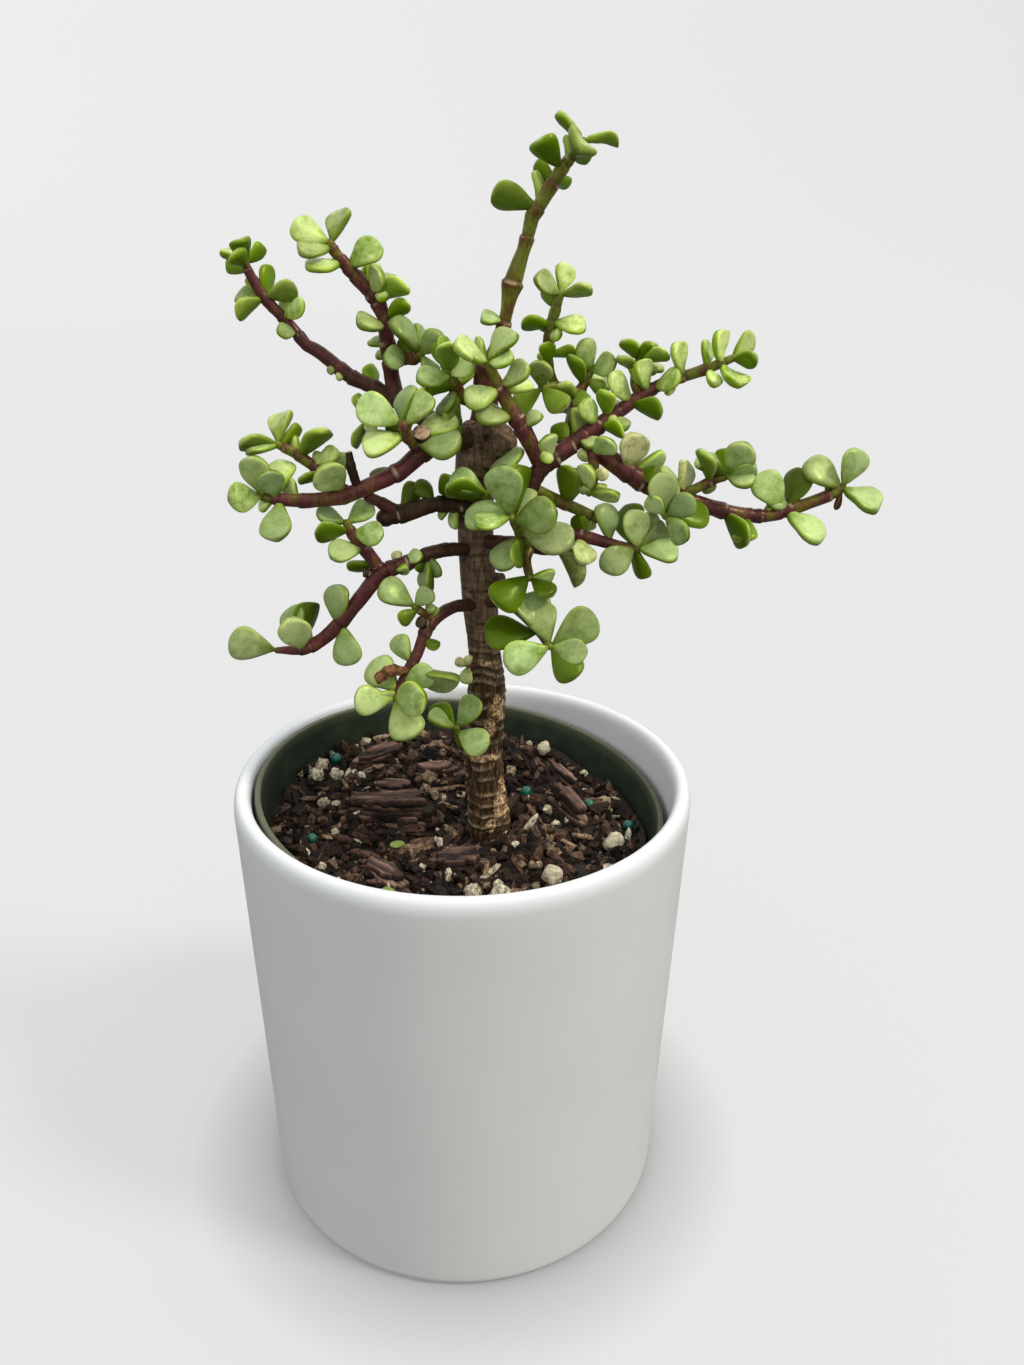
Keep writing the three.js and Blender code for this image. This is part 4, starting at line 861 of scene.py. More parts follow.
def bead_finish():
    """Coated fertiliser bead, teal green and faintly glossy."""
    finish = Finish("fertiliser_bead", 0.3, Coat_Weight=0.4)
    cloud = finish.noise(700, 3)
    finish.colour(finish.ramp(cloud, (0.3, (0.002, 0.075, 0.045)), (0.7, (0.008, 0.20, 0.125))))
    return finish.material


def trunk_bark():
    """Brown ringed bark: black upright cracks, tan fibres, pale ring edges and golden scabs.

    The young bark higher up has fine level wrinkles.
    """
    finish = Finish("trunk_bark", 0.6, Specular_IOR_Level=0.4, Specular_Tint=WARM_SHEEN)
    streak = finish.noise(1100, 6, stretch=(1, 1, 0.2), roughness=0.7)
    patch = finish.noise(210, 4)
    young = finish.ramp(
        streak, (0.28, (0.036, 0.022, 0.013)), (0.44, (0.125, 0.076, 0.046)), (0.60, (0.225, 0.150, 0.095)),
        (0.76, (0.40, 0.29, 0.20)),
    )
    old = finish.ramp(
        streak, (0.36, (0.006, 0.003, 0.002)), (0.47, (0.040, 0.021, 0.010)), (0.58, (0.105, 0.060, 0.030)),
        (0.72, (0.36, 0.24, 0.13)),
    )
    wrinkle = finish.ramp(finish.noise(1000, 4, stretch=(0.22, 0.22, 1)), (0.36, 0.62), (0.60, 1.32))
    young = finish.mix(0.9, young, wrinkle, "MULTIPLY")
    brown = finish.mix(finish.mark("old"), young, old)
    brown = finish.mix(0.75, brown, finish.ramp(patch, (0.32, 0.6), (0.66, 1.4)), "MULTIPLY")
    flecks = finish.ramp(finish.noise(1500, 4), (0.42, 0.25), (0.58, 1.0))
    ringed = finish.mix(finish.sum("MULTIPLY", finish.mark("ring"), flecks), brown, (0.52, 0.38, 0.22))
    grooved = finish.mix(finish.sum("MULTIPLY", finish.mark("groove"), 0.9), ringed, (0.007, 0.004, 0.002))
    torn = finish.ramp(finish.noise(1300, 5, roughness=0.7), (0.42, 0.0), (0.50, 1.0))
    scab = finish.ramp(
        finish.noise(750, 6, roughness=0.72), (0.38, (0.06, 0.028, 0.012)), (0.47, (0.44, 0.25, 0.11)),
        (0.62, (0.95, 0.72, 0.44)),
    )
    finish.colour(finish.mix(finish.sum("MULTIPLY", finish.mark("scab"), torn), grooved, scab))
    finish.bump(streak, 0.6, 0.4)
    return finish.material


def stem_skin():
    """Twig skin by tint: brown bark, then maroon, then olive green, with tan scars at its joints."""
    finish = Finish("stem_skin", 0.36, Specular_IOR_Level=0.5, Specular_Tint=WARM_SHEEN)
    tint = finish.mark("tint")
    cloud = finish.noise(330, 5, stretch=(1, 1, 0.55), roughness=0.62)
    wander = finish.sum("MULTIPLY", finish.sum("SUBTRACT", cloud, 0.32), 0.95)
    skin = finish.ramp(
        finish.sum("SUBTRACT", finish.sum("ADD", tint, wander), 0.16),
        (0.04, (0.018, 0.010, 0.006)), (0.2, (0.055, 0.027, 0.014)), (0.38, (0.085, 0.019, 0.024)),
        (0.54, (0.135, 0.028, 0.038)), (0.68, (0.145, 0.085, 0.018)), (0.82, (0.17, 0.19, 0.018)),
        (1.0, (0.26, 0.37, 0.045)),
    )
    streak = finish.ramp(finish.noise(1300, 4, stretch=(1, 1, 0.4)), (0.3, 0.5), (0.7, 1.3))
    skin = finish.mix(0.8, skin, streak, "MULTIPLY")
    scarred = finish.mix(finish.sum("MULTIPLY", finish.mark("scar"), 0.9), skin, (0.60, 0.46, 0.27))
    grooved = finish.mix(finish.sum("MULTIPLY", finish.mark("groove"), 0.9), scarred, (0.014, 0.006, 0.004))
    cut = finish.ramp(finish.noise(800, 5), (0.30, (0.10, 0.055, 0.03)), (0.56, (0.56, 0.41, 0.25)))
    skin = finish.mix(finish.mark("cut"), grooved, cut)
    dead = finish.ramp(finish.noise(900, 4), (0.35, (0.055, 0.016, 0.007)), (0.65, (0.30, 0.13, 0.055)))
    finish.colour(finish.mix(finish.mark("withered"), skin, dead))
    rough_bark = finish.sum("MULTIPLY", finish.sum("SUBTRACT", 0.5, tint), 0.6)
    finish.gloss(finish.sum("ADD", rough_bark, 0.32))
    finish.bump(finish.noise(1100, 4), 0.35, 0.2)
    return finish.material


def leaf_skin():
    """Waxy leaf: a pale mottled face with a painted sheen in its middle, a painted highlight along its
    rounded rim, saturated flanks, a deep green underside that is partly painted shade, and painted shade at
    its foot.
    """
    finish = Finish("leaf_skin", 0.34, Subsurface_Weight=0.06, Subsurface_Scale=0.0012,
                    Specular_IOR_Level=0.42, Specular_Tint=LEAF_SHEEN)
    finish.shader.inputs["Subsurface Radius"].default_value = (0.7, 1.0, 0.05)
    cloud = finish.noise(300, 6, roughness=0.72)
    mottle = finish.sum("MULTIPLY", finish.sum("SUBTRACT", cloud, 0.17), 1.6)
    lime_and_light, upper = finish.mark("lime_and_light"), finish.mark("upper")
    # darker down the flanks to the underside: partly the underside's own deeper green, partly painted shade
    deep = finish.mix(lime_and_light, (0.055, 0.092, 0.001), (0.160, 0.285, 0.001))
    flank = finish.mix(lime_and_light, (0.130, 0.205, 0.002), (0.260, 0.400, 0.001))
    green = finish.mix(lime_and_light, (0.098, 0.182, 0.004), (0.170, 0.290, 0.002))
    # partly painted light: the face is much lighter with more lime, so the low shoots with little of it look
    # shaded
    pale = finish.mix(lime_and_light, (0.41, 0.545, 0.225), (0.74, 0.86, 0.31))
    # painted sheen: the face is paler in its middle
    centre = finish.sum("MULTIPLY", finish.mark("centre"), 0.10)
    fresh = finish.sum("MULTIPLY", finish.mark("fresh"), 0.30)
    pallor = finish.sum("ADD", finish.sum("ADD", mottle, centre), fresh)
    face = finish.mix(finish.ramp(pallor, (0.36, 0.0), (0.92, 1.0)), green, pale)
    speckle = finish.ramp(finish.cells(1500), (0.10, 0.0), (0.42, 1.0))
    face = finish.mix(finish.sum("MULTIPLY", finish.mark("speckled"), speckle), face, pale)
    body = finish.mix(finish.ramp(upper, (0.05, 0.0), (0.44, 1.0)), deep, flank)
    body = finish.mix(finish.ramp(upper, (0.60, 0.0), (0.78, 1.0)), body, face)
    # painted highlight: a bright line along the rounded rim
    rim = finish.mix(lime_and_light, (0.50, 0.66, 0.17), (0.64, 0.82, 0.16))
    body = finish.mix(finish.sum("MULTIPLY", finish.mark("rim"), 0.92), body, rim)
    fleck = finish.ramp(finish.noise(600, 4), (0.36, 0.35), (0.54, 1.0))
    cream = finish.sum("MULTIPLY", finish.mark("cream"), fleck)
    body = finish.mix(cream, body, (0.95, 0.88, 0.42))
    tone = finish.ramp(finish.mark("tone"), (0.0, 0.60), (1.0, 1.36))
    body = finish.mix(1.0, body, tone, "MULTIPLY")
    # painted shade: darker and browner towards the leaf's foot, where it meets the stem
    foot = finish.ramp(
        finish.mark("share"), (0.0, (0.36, 0.32, 0.05)), (0.16, (0.72, 0.78, 0.40)), (0.45, (1.0, 1.0, 1.0)),
    )
    body = finish.mix(0.9, body, foot, "MULTIPLY")
    finish.colour(finish.mix(finish.mark("dried"), body, (0.07, 0.024, 0.010)))
    finish.gloss(finish.ramp(finish.noise(800, 3), (0.3, 0.24), (0.7, 0.38)))
    finish.bump(finish.noise(520, 5, roughness=0.6), 0.4, 0.16)
    return finish.material


# ---------------------------------------------------------------- planter and pot
def lathe(profile, sides, foot=np.zeros(3), tilt=np.identity(3)):
    """A profile of (radius, height) points turned about Z, then tilted and set down on its foot."""
    angle = np.linspace(0, 2 * np.pi, sides, endpoint=False)
    radius, height = np.array(profile, float).T[..., None]
    rings = np.stack([radius * np.cos(angle), radius * np.sin(angle), height + 0 * angle], axis=-1)
    return rings[None] @ tilt.T + foot


def bend(start, corner, end, steps=8):
    """A quadratic curve from start to end that is drawn towards the corner."""
    t = np.linspace(0, 1, steps)[:, None]
    start, corner, end = (np.array(point, float) for point in (start, corner, end))
    return (start * (1 - t) ** 2 + 2 * corner * t * (1 - t) + end * t**2).tolist()


def planter_shell():
    """The planter's section turned about Z: flat foot, rounded edge, flared wall, rounded lip, floor."""
    foot, edge = PLANTER_FOOT_RADIUS, PLANTER_FOOT_ROUNDING
    rim, mouth = PLANTER_RIM_RADIUS, PLANTER_MOUTH_RADIUS
    lip = PLANTER_WALL / 2
    inner, floor = foot - PLANTER_WALL, PLANTER_FLOOR
    top, shoulder = PLANTER_HEIGHT, PLANTER_HEIGHT - 2 * lip
    outside = np.linspace([foot, edge], [rim, shoulder], 30)[1:-1].tolist()
    inside = np.linspace([mouth, shoulder], [inner, floor + 2 * edge], 24)[1:-1].tolist()
    profile = [
        [NEAR_AXIS, 0],
        [foot - 2 * edge, 0],
        *bend((foot - edge, 0), (foot, 0), (foot, edge)),
        *outside,
        *bend((rim, shoulder), (rim, top), (rim - lip, top)),
        *bend((rim - lip, top), (mouth, top), (mouth, shoulder))[1:],
        *inside,
        *bend((inner, floor + 2 * edge), (inner, floor), (inner - 2 * edge, floor)),
        [NEAR_AXIS, floor],
    ]
    radius, height = np.array(profile).T
    wall_radius = foot + (rim - foot) * height / top
    # where the painted light goes: the rounded lip and everything inside the wall
    lip_painted_light_share = np.maximum(smooth_step(height, top - 5, top - 2), smooth_step(wall_radius - radius, 1.5, 2.5))
    shell = tubes("planter_shell", lathe(profile, sides=144), {"lip": lip_painted_light_share[None, :, None]})
    return stands_for(shell, "planter", planter_glaze())


POT_TILT = turned_about("X", POT_TILT_ABOUT_X) @ turned_about("Y", POT_TILT_ABOUT_Y)
POT_FOOT = POT_RIM_CENTRE - POT_HEIGHT * POT_TILT @ UP


def pot_radius(height):
    """The pot's outer radius, which grows evenly from its foot to the underside of its lip."""
    slope = (POT_RIM_RADIUS - POT_LIP_WIDTH - POT_FOOT_RADIUS) / POT_HEIGHT
    return POT_FOOT_RADIUS + slope * height


def pot_inside(height):
    """The pot's inner radius: straight down from the lip to its knee, then along the wall."""
    mouth = POT_RIM_RADIUS - POT_LIP_WIDTH
    wall = pot_radius(height) - POT_WALL
    knee = pot_radius(POT_INSIDE_KNEE) - POT_WALL
    share = np.clip((height - POT_INSIDE_KNEE) / (POT_HEIGHT - POT_INSIDE_KNEE), 0, 1)
    return np.where(height > POT_INSIDE_KNEE, knee + (mouth - knee) * share, wall)


def nursery_pot_shell():
    """The pot's section turned about its own axis, leaning in the planter: wall, band and rolled lip."""
    foot, rim, top = POT_FOOT_RADIUS, POT_RIM_RADIUS, POT_HEIGHT
    mouth = rim - POT_LIP_WIDTH
    band = top - POT_LIP_HEIGHT
    edge = POT_WALL / 2
    outside = np.linspace([foot, edge], [pot_radius(band), band], 20)[1:].tolist()
    levels = np.linspace(top - 0.8, POT_WALL, 40)
    inside = np.stack([pot_inside(levels), levels], axis=-1).tolist()
    profile = [
        [NEAR_AXIS, 0],
        [foot - edge, 0],
        *outside,
        [rim - 0.2, band + edge],
        [rim, band + 2 * edge],
        *bend((rim, top - edge), (rim, top), (rim - edge, top)),
        *bend((mouth + 0.4, top), (mouth, top), (mouth, top - 0.6)),
        *inside,
        [NEAR_AXIS, POT_WALL],
    ]
    # where the lip's painted highlight goes: the top of the rolled lip
    lip = smooth_step(np.array(profile)[:, 1], top - 1.0, top - 0.4)[:, None]
    shell = tubes("nursery_pot_shell", lathe(profile, 128, POT_FOOT, POT_TILT), {"lip": lip})
    return stands_for(shell, "nursery_pot", pot_plastic())


# ---------------------------------------------------------------- potting mix
def soil_height(x, y):
    """The mix's level: flat at the front, heaped towards the back left, with a slow ripple."""
    bearing = np.radians(SOIL_BANK_BEARING)
    bank = SOIL_BANK * smooth_step(y * np.cos(bearing) - x * np.sin(bearing), 0, SOIL_BANK_DEPTH)
    wave = 2 * np.pi / SOIL_RIPPLE_LENGTH
    return SOIL_LEVEL + bank + SOIL_RIPPLE * np.sin(wave * x + 1) * np.sin(0.8 * wave * y)


def pot_axis_at(height):
    """The middle of the leaning pot at a level of the frame."""
    lean = POT_TILT @ UP
    return POT_FOOT + lean * (height - POT_FOOT[2])[..., None] / lean[2]


def mix_reach(height):
    """How far the mix reaches from the pot's axis at a level of the frame, clear of the wall."""
    return pot_inside(height - POT_FOOT[2]) - POT_GAP


def bed_lumps(points):
    """The bed's rough bumps, by noise across it, less the depth at which the crumbs lie."""
    flat = points * [1, 1, 0]
    return 3.0 * rough(flat, 5.0, 3, 4) - 0.8


def mix_bed():
    """The filled pot: rings from under the mix and up its wall, then in over the rough top to the axis."""
    sides, top_rings = 150, 56
    angle = np.linspace(0, 2 * np.pi, sides, endpoint=False)
    share = np.linspace(0.004, 1, top_rings)[::-1][:, None]
    level = np.full((top_rings, sides), SOIL_LEVEL)
    for _ in range(3):
        reach = mix_reach(level) * share
        x = pot_axis_at(level)[..., 0] + reach * np.cos(angle)
        y = pot_axis_at(level)[..., 1] + reach * np.sin(angle)
        level = soil_height(x, y)
    top = np.stack([x, y, level], axis=-1)
    top[..., 2] += bed_lumps(top) * smooth_step(1 - share, 0, 0.05) - 0.4
    floor = POT_WALL + POT_GAP
    levels = np.linspace(floor, SOIL_LEVEL - POT_FOOT[2] - 8, 8)
    wall = np.stack([pot_radius(levels) - POT_WALL - 1, levels], axis=-1).tolist()
    below = lathe([[NEAR_AXIS, floor], *wall], sides, POT_FOOT, POT_TILT)[0]
    bed = tubes("potting_mix_bed", np.concatenate([below, top])[None])
    return stands_for(bed, "potting_mix", mix_earth())


def turned_any_way(rng, count):
    """Random rotations."""
    turn = np.linalg.qr(rng.normal(size=(count, 3, 3)))[0]
    return turn * np.sign(np.linalg.det(turn))[:, None, None]


def turned_nearly_flat(rng, count, tilt):
    """Rotations that turn a flake any way round and tip it, with tilt, in radians, as the usual tip."""
    turn, tip = rng.uniform(0, 2 * np.pi, count), rng.normal(0, tilt, count)
    one, nil = np.ones(count), np.zeros(count)
    around = np.array([
        [np.cos(turn), np.sin(turn), nil], [-np.sin(turn), np.cos(turn), nil], [nil, nil, one],
    ])
    tipped = np.array([
        [one, nil, nil], [nil, np.cos(tip), np.sin(tip)], [nil, -np.sin(tip), np.cos(tip)],
    ])
    return np.einsum("ijn,jkn->nik", tipped, around)


def lumps(rng, centres, sizes, turns, rings, sides):
    """Broken lumps: unit spheres squeezed towards blocks, dented at random, stretched and turned."""
    count = len(centres)
    polar = np.linspace(0.25, np.pi - 0.25, rings)[:, None]
    angle = np.linspace(0, 2 * np.pi, sides, endpoint=False)[None]
    ball = np.stack([
        np.sin(polar) * np.cos(angle), np.sin(polar) * np.sin(angle), -np.cos(polar) + 0 * angle,
    ], axis=-1)
    block = np.sign(ball) * np.abs(ball) ** rng.uniform(0.45, 0.9, (count, 1, 1, 1))
    block *= rng.uniform(0.74, 1.18, (count, rings, sides, 1))
    return np.einsum("nrsi,nij->nrsj", block * sizes[:, None, None] / 2, turns) + centres[:, None, None]


def strewn(rng, count, margin, sink):
    """Random places on the mix's bumps, even over its disc, and whether each is clear of the trunk.

    They keep a margin to the pot's wall and lie by sink below the top.
    """
    angle, share = rng.uniform(0, 2 * np.pi, count), np.sqrt(rng.uniform(0, 1, count))
    reach = (mix_reach(np.full(count, SOIL_LEVEL + 2.0)) - margin) * share
    axis = pot_axis_at(np.full(count, SOIL_LEVEL))
    x, y = axis[:, 0] + reach * np.cos(angle), axis[:, 1] + reach * np.sin(angle)
    top = np.stack([x, y, soil_height(x, y)], axis=-1)
    top[:, 2] += bed_lumps(top) - sink
    trunk_x, trunk_y, _, trunk_radius = TRUNK["stem"][0]
    return top, np.hypot(x - trunk_x, y - trunk_y) > trunk_radius + margin * 0.6


def mix_crumbs():
    """Small crumbs all over the mix, mostly dark, with splinters and some pale grains among them."""
    rng = np.random.default_rng(11)
    count = CRUMB_COUNT
    size = 0.7 + 3.2 * rng.uniform(0, 1, count) ** 2.2
    top, clear = strewn(rng, count, margin=size / 2 + 0.3, sink=0.5)
    top[:, 2] += 0.3 * size
    long = rng.uniform(0, 1, count) < SPLINTER_SHARE
    sizes = size[:, None] * np.where(long[:, None], [2.4, 0.7, 0.4], rng.uniform(0.6, 1.1, (count, 3)))
    kind = 0.84 * rng.uniform(0, 1, count) ** 1.45
    kind[rng.uniform(0, 1, count) < PALE_CRUMB_SHARE] = PALE_KIND
    kind[long & (kind > 0.5)] += 0.1
    shapes = lumps(rng, top, sizes, turned_any_way(rng, count), rings=5, sides=6)[clear]
    made = tubes("potting_mix_crumbs", shapes, {"kind": kind[clear][:, None, None]})
    made.data.shade_flat()
    return stands_for(made, "potting_mix", CRUMB)


def mix_flakes():
    """Flakes of bark that lie about nearly flat: thin blocks with ragged edges, red-brown to dark."""
    rng = np.random.default_rng(23)
    count = FLAKE_COUNT
    size = 3.0 + 6.5 * rng.uniform(0, 1, count) ** 2.0
    top, clear = strewn(rng, count, margin=size / 2 + 0.4, sink=0.1)
    top[:, 2] += rng.uniform(0.2, 1.1, count)
    sizes = size[:, None] * np.stack([
        rng.uniform(0.8, 1.25, count), rng.uniform(0.3, 0.75, count), rng.uniform(0.18, 0.38, count),
    ], axis=-1)
    kind = 0.15 + 0.57 * rng.uniform(0, 1, count) ** 1.1
    kind[rng.uniform(0, 1, count) < TAN_FLAKE_SHARE] = TAN_KIND
    turns = turned_nearly_flat(rng, count, tilt=0.55)
    shapes = lumps(rng, top, sizes, turns, rings=6, sides=12)[clear]
    made = tubes("potting_mix_flakes", shapes, {"kind": kind[clear][:, None, None]})
    made.data.shade_flat()
    return stands_for(made, "potting_mix", CRUMB)


def on_the_bumps(x, y, above):
    """Points above the mix's bumpy top, by so much."""
    bumps = bed_lumps(np.stack([x, y, 0 * x], axis=-1))
    return np.stack([x, y, soil_height(x, y) + bumps + above], axis=-1)


def placed_bits():
    """Grains and splinters at chosen places on the mix."""
    rng = np.random.default_rng(31)
    x, y, wide, kind = np.array(PALE_GRAINS).T
    sizes = wide[:, None] * rng.uniform(0.75, 1.05, (len(x), 3))
    spots = on_the_bumps(x, y, 0.3 * wide)
    grains = lumps(rng, spots, sizes, turned_any_way(rng, len(x)), rings=9, sides=14)
    made = tubes("potting_mix_grains", grains, {"kind": kind[:, None, None]})
    x, y, length, width, turn, kind = np.array(LOOSE_SPLINTERS).T
    turns = np.array([turned_about("Z", angle).T for angle in turn])
    sizes = np.stack([length, width, 0.6 * width], axis=-1)
    splinters = lumps(rng, on_the_bumps(x, y, 1.2), sizes, turns, rings=9, sides=14)
    sticks = tubes("potting_mix_splinters", splinters, {"kind": kind[:, None, None]})
    sticks.data.shade_flat()
    return stands_for(joined_with(made, sticks), "potting_mix", CRUMB)


def bits_on_the_mix():
    """The prills that are half sunk in the mix, and the small green leaves that have dropped on it."""
    for index, (x, y) in enumerate(SUNKEN_PRILLS, 1):
        centre = [x, y, float(soil_height(x, y)) + 0.8]
        size = (3.2, 3.2, 3.0)
        prill = round_stone(f"sunken_prill_{index}", centre, size, turn=0, dents=0.03, seed=80 + index)
        stands_for(prill, "potting_mix", BEAD)
    for index, (x, y, length, turn) in enumerate(FALLEN_LEAFLETS, 1):
        centre = [x, y, float(soil_height(x, y)) + 2.6]
        size = (length, 0.75 * length, 1.2)
        leaf = round_stone(f"fallen_leaflet_{index}", centre, size, turn, dents=0.1, seed=90)
        for mark, value in (("upper", 1), ("lime_and_light", 0.5), ("tone", 0.2), ("share", 1)):
            layer = leaf.data.attributes.new(mark, "FLOAT", "POINT")
            layer.data.foreach_set("value", np.full(len(leaf.data.vertices), value, np.float32))
        stands_for(leaf, "potting_mix", LEAF_SKIN)


def chip_outlines(rng, length, width, plates, sides, seed):
    """The outline of each of a chip's plates, as its reach along and across the chip (plate, 1, side).

    A rounded block is drawn through corners at random reaches and roughened by noise. It narrows towards
    the chip's ends, and a plate higher up is smaller, by a random share.
    """
    angle = np.linspace(0, 2 * np.pi, sides, endpoint=False)[None, None]
    level = np.arange(plates)[:, None, None]
    size_x = 1 - 0.55 * level / plates * rng.uniform(0.2, 1.0, (plates, 1, 1))
    size_y = 1 - 0.5 * level / plates * rng.uniform(0.2, 1.0, (plates, 1, 1))
    corners = np.linspace(0, 2 * np.pi, 12)
    reaches = rng.uniform(0.70, 1.10, (plates, len(corners) - 1))
    jagged = np.array([np.interp(angle[0], corners, [*reach, reach[0]]) for reach in reaches])
    flat_x = np.sign(np.cos(angle)) * np.abs(np.cos(angle)) ** 0.6 * jagged
    flat_y = np.sign(np.sin(angle)) * np.abs(np.sin(angle)) ** 0.75 * jagged
    rim_spots = np.stack(np.broadcast_arrays(0.25 * length * flat_x, 2.2 * flat_y, 9.0 * level), axis=-1)
    ragged = rough(rim_spots, 1.0, seed, 3)
    reach_x = flat_x * length / 2 * size_x * (1 + 0.20 * ragged)
    reach_y = flat_y * width / 2 * size_y * (1 + 0.42 * ragged) * (1 - 0.38 * (2 * reach_x / length) ** 2)
    return reach_x, reach_y, size_x, size_y


def bark_chip(index, row):
    """A split of bark: ragged plates one on another.

    Each plate is its outline carried upwards: it spreads from a point, rises up its edge and closes above,
    with grain along its top. The plates are shifted and tipped by small random amounts.
    """
    x, y, length, width, height, turn, rise_angle = row
    rng = np.random.default_rng(100 + index)
    plates = max(3, int(round(height / CHIP_PLATE_THICKNESS)))
    spread = np.array([0.02, 0.95, 1.0, 0.98, 0.92, 0.75, 0.55, 0.3, 0.02])[None, :, None]
    rise = np.array([0.0, 0.0, 0.2, 0.9, 1.0, 1.0, 1.0, 1.0, 1.0])[None, :, None]
    level = np.arange(plates)[:, None, None]
    outlines = chip_outlines(rng, length, width, plates, sides=72, seed=40 + index)
    reach_x, reach_y, size_x, size_y = outlines
    spot_x = reach_x * spread + (1 - size_x) * length / 2 * rng.uniform(-0.8, 0.8, (plates, 1, 1))
    spot_y = reach_y * spread + (1 - size_y) * width / 2 * rng.uniform(-0.8, 0.8, (plates, 1, 1))
    thick = height / plates
    spot_z = -height / 2 + level * thick + rise * thick * rng.uniform(0.9, 1.4, (plates, 1, 1))
    grain_spots = np.stack(np.broadcast_arrays(0.16 * spot_x, 1.1 * spot_y, 5.0 * level), axis=-1)
    grain = rough(grain_spots, 1.0, 60 + index, 4)
    tip_x, tip_y = rng.uniform(-0.10, 0.10, (2, plates, 1, 1))
    spot_z = spot_z + 0.55 * grain * smooth_step(rise, 0.5, 1) + tip_x * spot_x + tip_y * spot_y
    flat = np.stack([spot_x, spot_y, spot_z + 0 * spot_x], axis=-1)
    layer = np.clip(0.52 + 0.75 * grain + rng.uniform(-0.24, 0.24, (plates, 1, 1)), 0, 1)
    # painted shade: each plate is darker down its lower edge and underneath, in the gaps between the plates
    layer = layer * (0.15 + 0.85 * smooth_step(rise, 0.3, 1.0))
    tipped = turned_about("Y", -rise_angle) @ turned_about("X", turn / 4)
    placed = flat @ (turned_about("Z", turn) @ tipped).T
    placed = placed * 0.97 + [x, y, float(soil_height(x, y)) + height / 5]
    name = f"bark_chip_{index}"
    made = tubes(f"{name}_split", placed, {"layer": layer})
    made.data.shade_flat()
    return stands_for(made, name, SPLIT_BARK)


def round_stone(name, centre, size, turn, dents, seed):
    """A sphere stretched to size and dented by noise."""
    rings, sides = 22, 30
    polar = np.linspace(0.04, np.pi - 0.04, rings)[:, None]
    angle = np.linspace(0, 2 * np.pi, sides, endpoint=False)[None]
    ball = np.stack([
        np.sin(polar) * np.cos(angle), np.sin(polar) * np.sin(angle), -np.cos(polar) + 0 * angle,
    ], axis=-1)
    ball *= (1 - 0.2 * dents + dents * rough(ball + seed, 0.7, seed, 4))[..., None]
    placed = (ball * np.array(size) / 2) @ turned_about("Z", turn).T + centre
    return tubes(name, placed[None])


def on_the_mix():
    """The named pieces that lie on the mix: bark splits, pumice stones and fertiliser beads."""
    for index, row in enumerate(BARK_CHIPS, 1):
        bark_chip(index, row)
    for index, (x, y, length, width, height, turn) in enumerate(PUMICE_STONES, 1):
        name = f"pumice_stone_{index}"
        centre = [x, y, float(soil_height(x, y)) + height / 4]
        size = (0.93 * length, 0.93 * width, 0.93 * height)
        stone = round_stone(f"{name}_lump", centre, size, turn, dents=0.42, seed=index)
        stands_for(stone, name, PUMICE)
    for index, (x, y) in enumerate(BEADS, 1):
        name = f"fertiliser_bead_{index}"
        centre = [x, y, float(soil_height(x, y)) + BEAD_RADIUS / 3]
        size = (1.95 * BEAD_RADIUS,) * 3
        bead = round_stone(f"{name}_prill", centre, size, turn=0, dents=0.03, seed=60 + index)
        stands_for(bead, name, BEAD)


# ---------------------------------------------------------------- wood
def swept(rows, sides, spacing, swell, bulge=1.0):
    """A stem's rings: a circle carried along the curve through its rows, then a rounded end.

    The end bulges past the tip by bulge times the radius there. swell(shares, angles, points) gives the
    factor by which the radius changes. Returns the rings (ring, side, xyz).
    """
    route = places(rows)
    radii = np.array(rows, float)[:, 3:]
    length = np.linalg.norm(np.diff(route, axis=0), axis=1).sum()
    steps = max(6, int(length / spacing))
    bow = np.concatenate([np.zeros(steps), np.linspace(0, np.pi / 2, END_RINGS + 1)[1:]])[:, None]
    share = np.concatenate([np.linspace(0, 1, steps), np.ones(END_RINGS)])
    tangent = heading(route, share)
    radius = along(radii, share)
    centre = along(route, share) + tangent * radius * bulge * np.sin(bow)
    radius = radius * np.maximum(np.cos(bow), 0.03) ** (0.4 + 0.6 * min(bulge, 1))
    sideways = unit(np.cross(tangent, GAZE))
    outward = np.cross(sideways, tangent)
    angle = np.linspace(0, 2 * np.pi, sides, endpoint=False)
    spoke = (
        outward[:, None] * np.cos(angle)[None, :, None] + sideways[:, None] * np.sin(angle)[None, :, None]
    )
    factor = swell(share[:, None], angle[None], centre[:, None] + spoke * radius[:, None])
    return centre[:, None] + spoke * (radius[:, None] * factor[..., None])


def cut_end(rings_shape):
    """A mark that is one on the last rings, which close the stem's end, and nought elsewhere."""
    mark = np.zeros(rings_shape)
    mark[-CUT_RINGS:] = 1
    return mark


def trunk_marks(skin, angle):
    """Marks of the bark by height: broken ring ridges, the grooves under them, flaked scabs and age."""
    height = skin[..., 2] + 2.2 * rough(skin * [1, 1, 0.3], 5.0, 31, 3)
    offsets = height[..., None] - np.array(TRUNK_RINGS, float)
    broken = smooth_step(rough(skin * [1, 1, 0.3], 3.2, 33, 2), -0.34, 0.10)
    ring = np.exp(-((offsets - 0.5) / 0.55) ** 2).max(axis=-1) * broken
    groove = np.exp(-((offsets + 0.4) / 0.32) ** 2).max(axis=-1) * (0.45 + 0.55 * broken)
    bearing = np.degrees(np.arctan2(-np.sin(angle), -np.cos(angle))) + 0 * height
    scab = np.zeros_like(height)
    for level, side, tall, wide in TRUNK_SCABS:
        near = ((skin[..., 2] - level) / tall) ** 2 + ((bearing - side) / wide) ** 2
        scab = np.maximum(scab, smooth_step(0.95 - near - 1.6 * rough(skin, 2.4, 77, 3), 0, 0.3))
    old = smooth_step(-skin[..., 2], -182, -164)
    return {"ring": ring * (0.25 + 0.75 * old), "groove": groove, "scab": scab, "old": old}


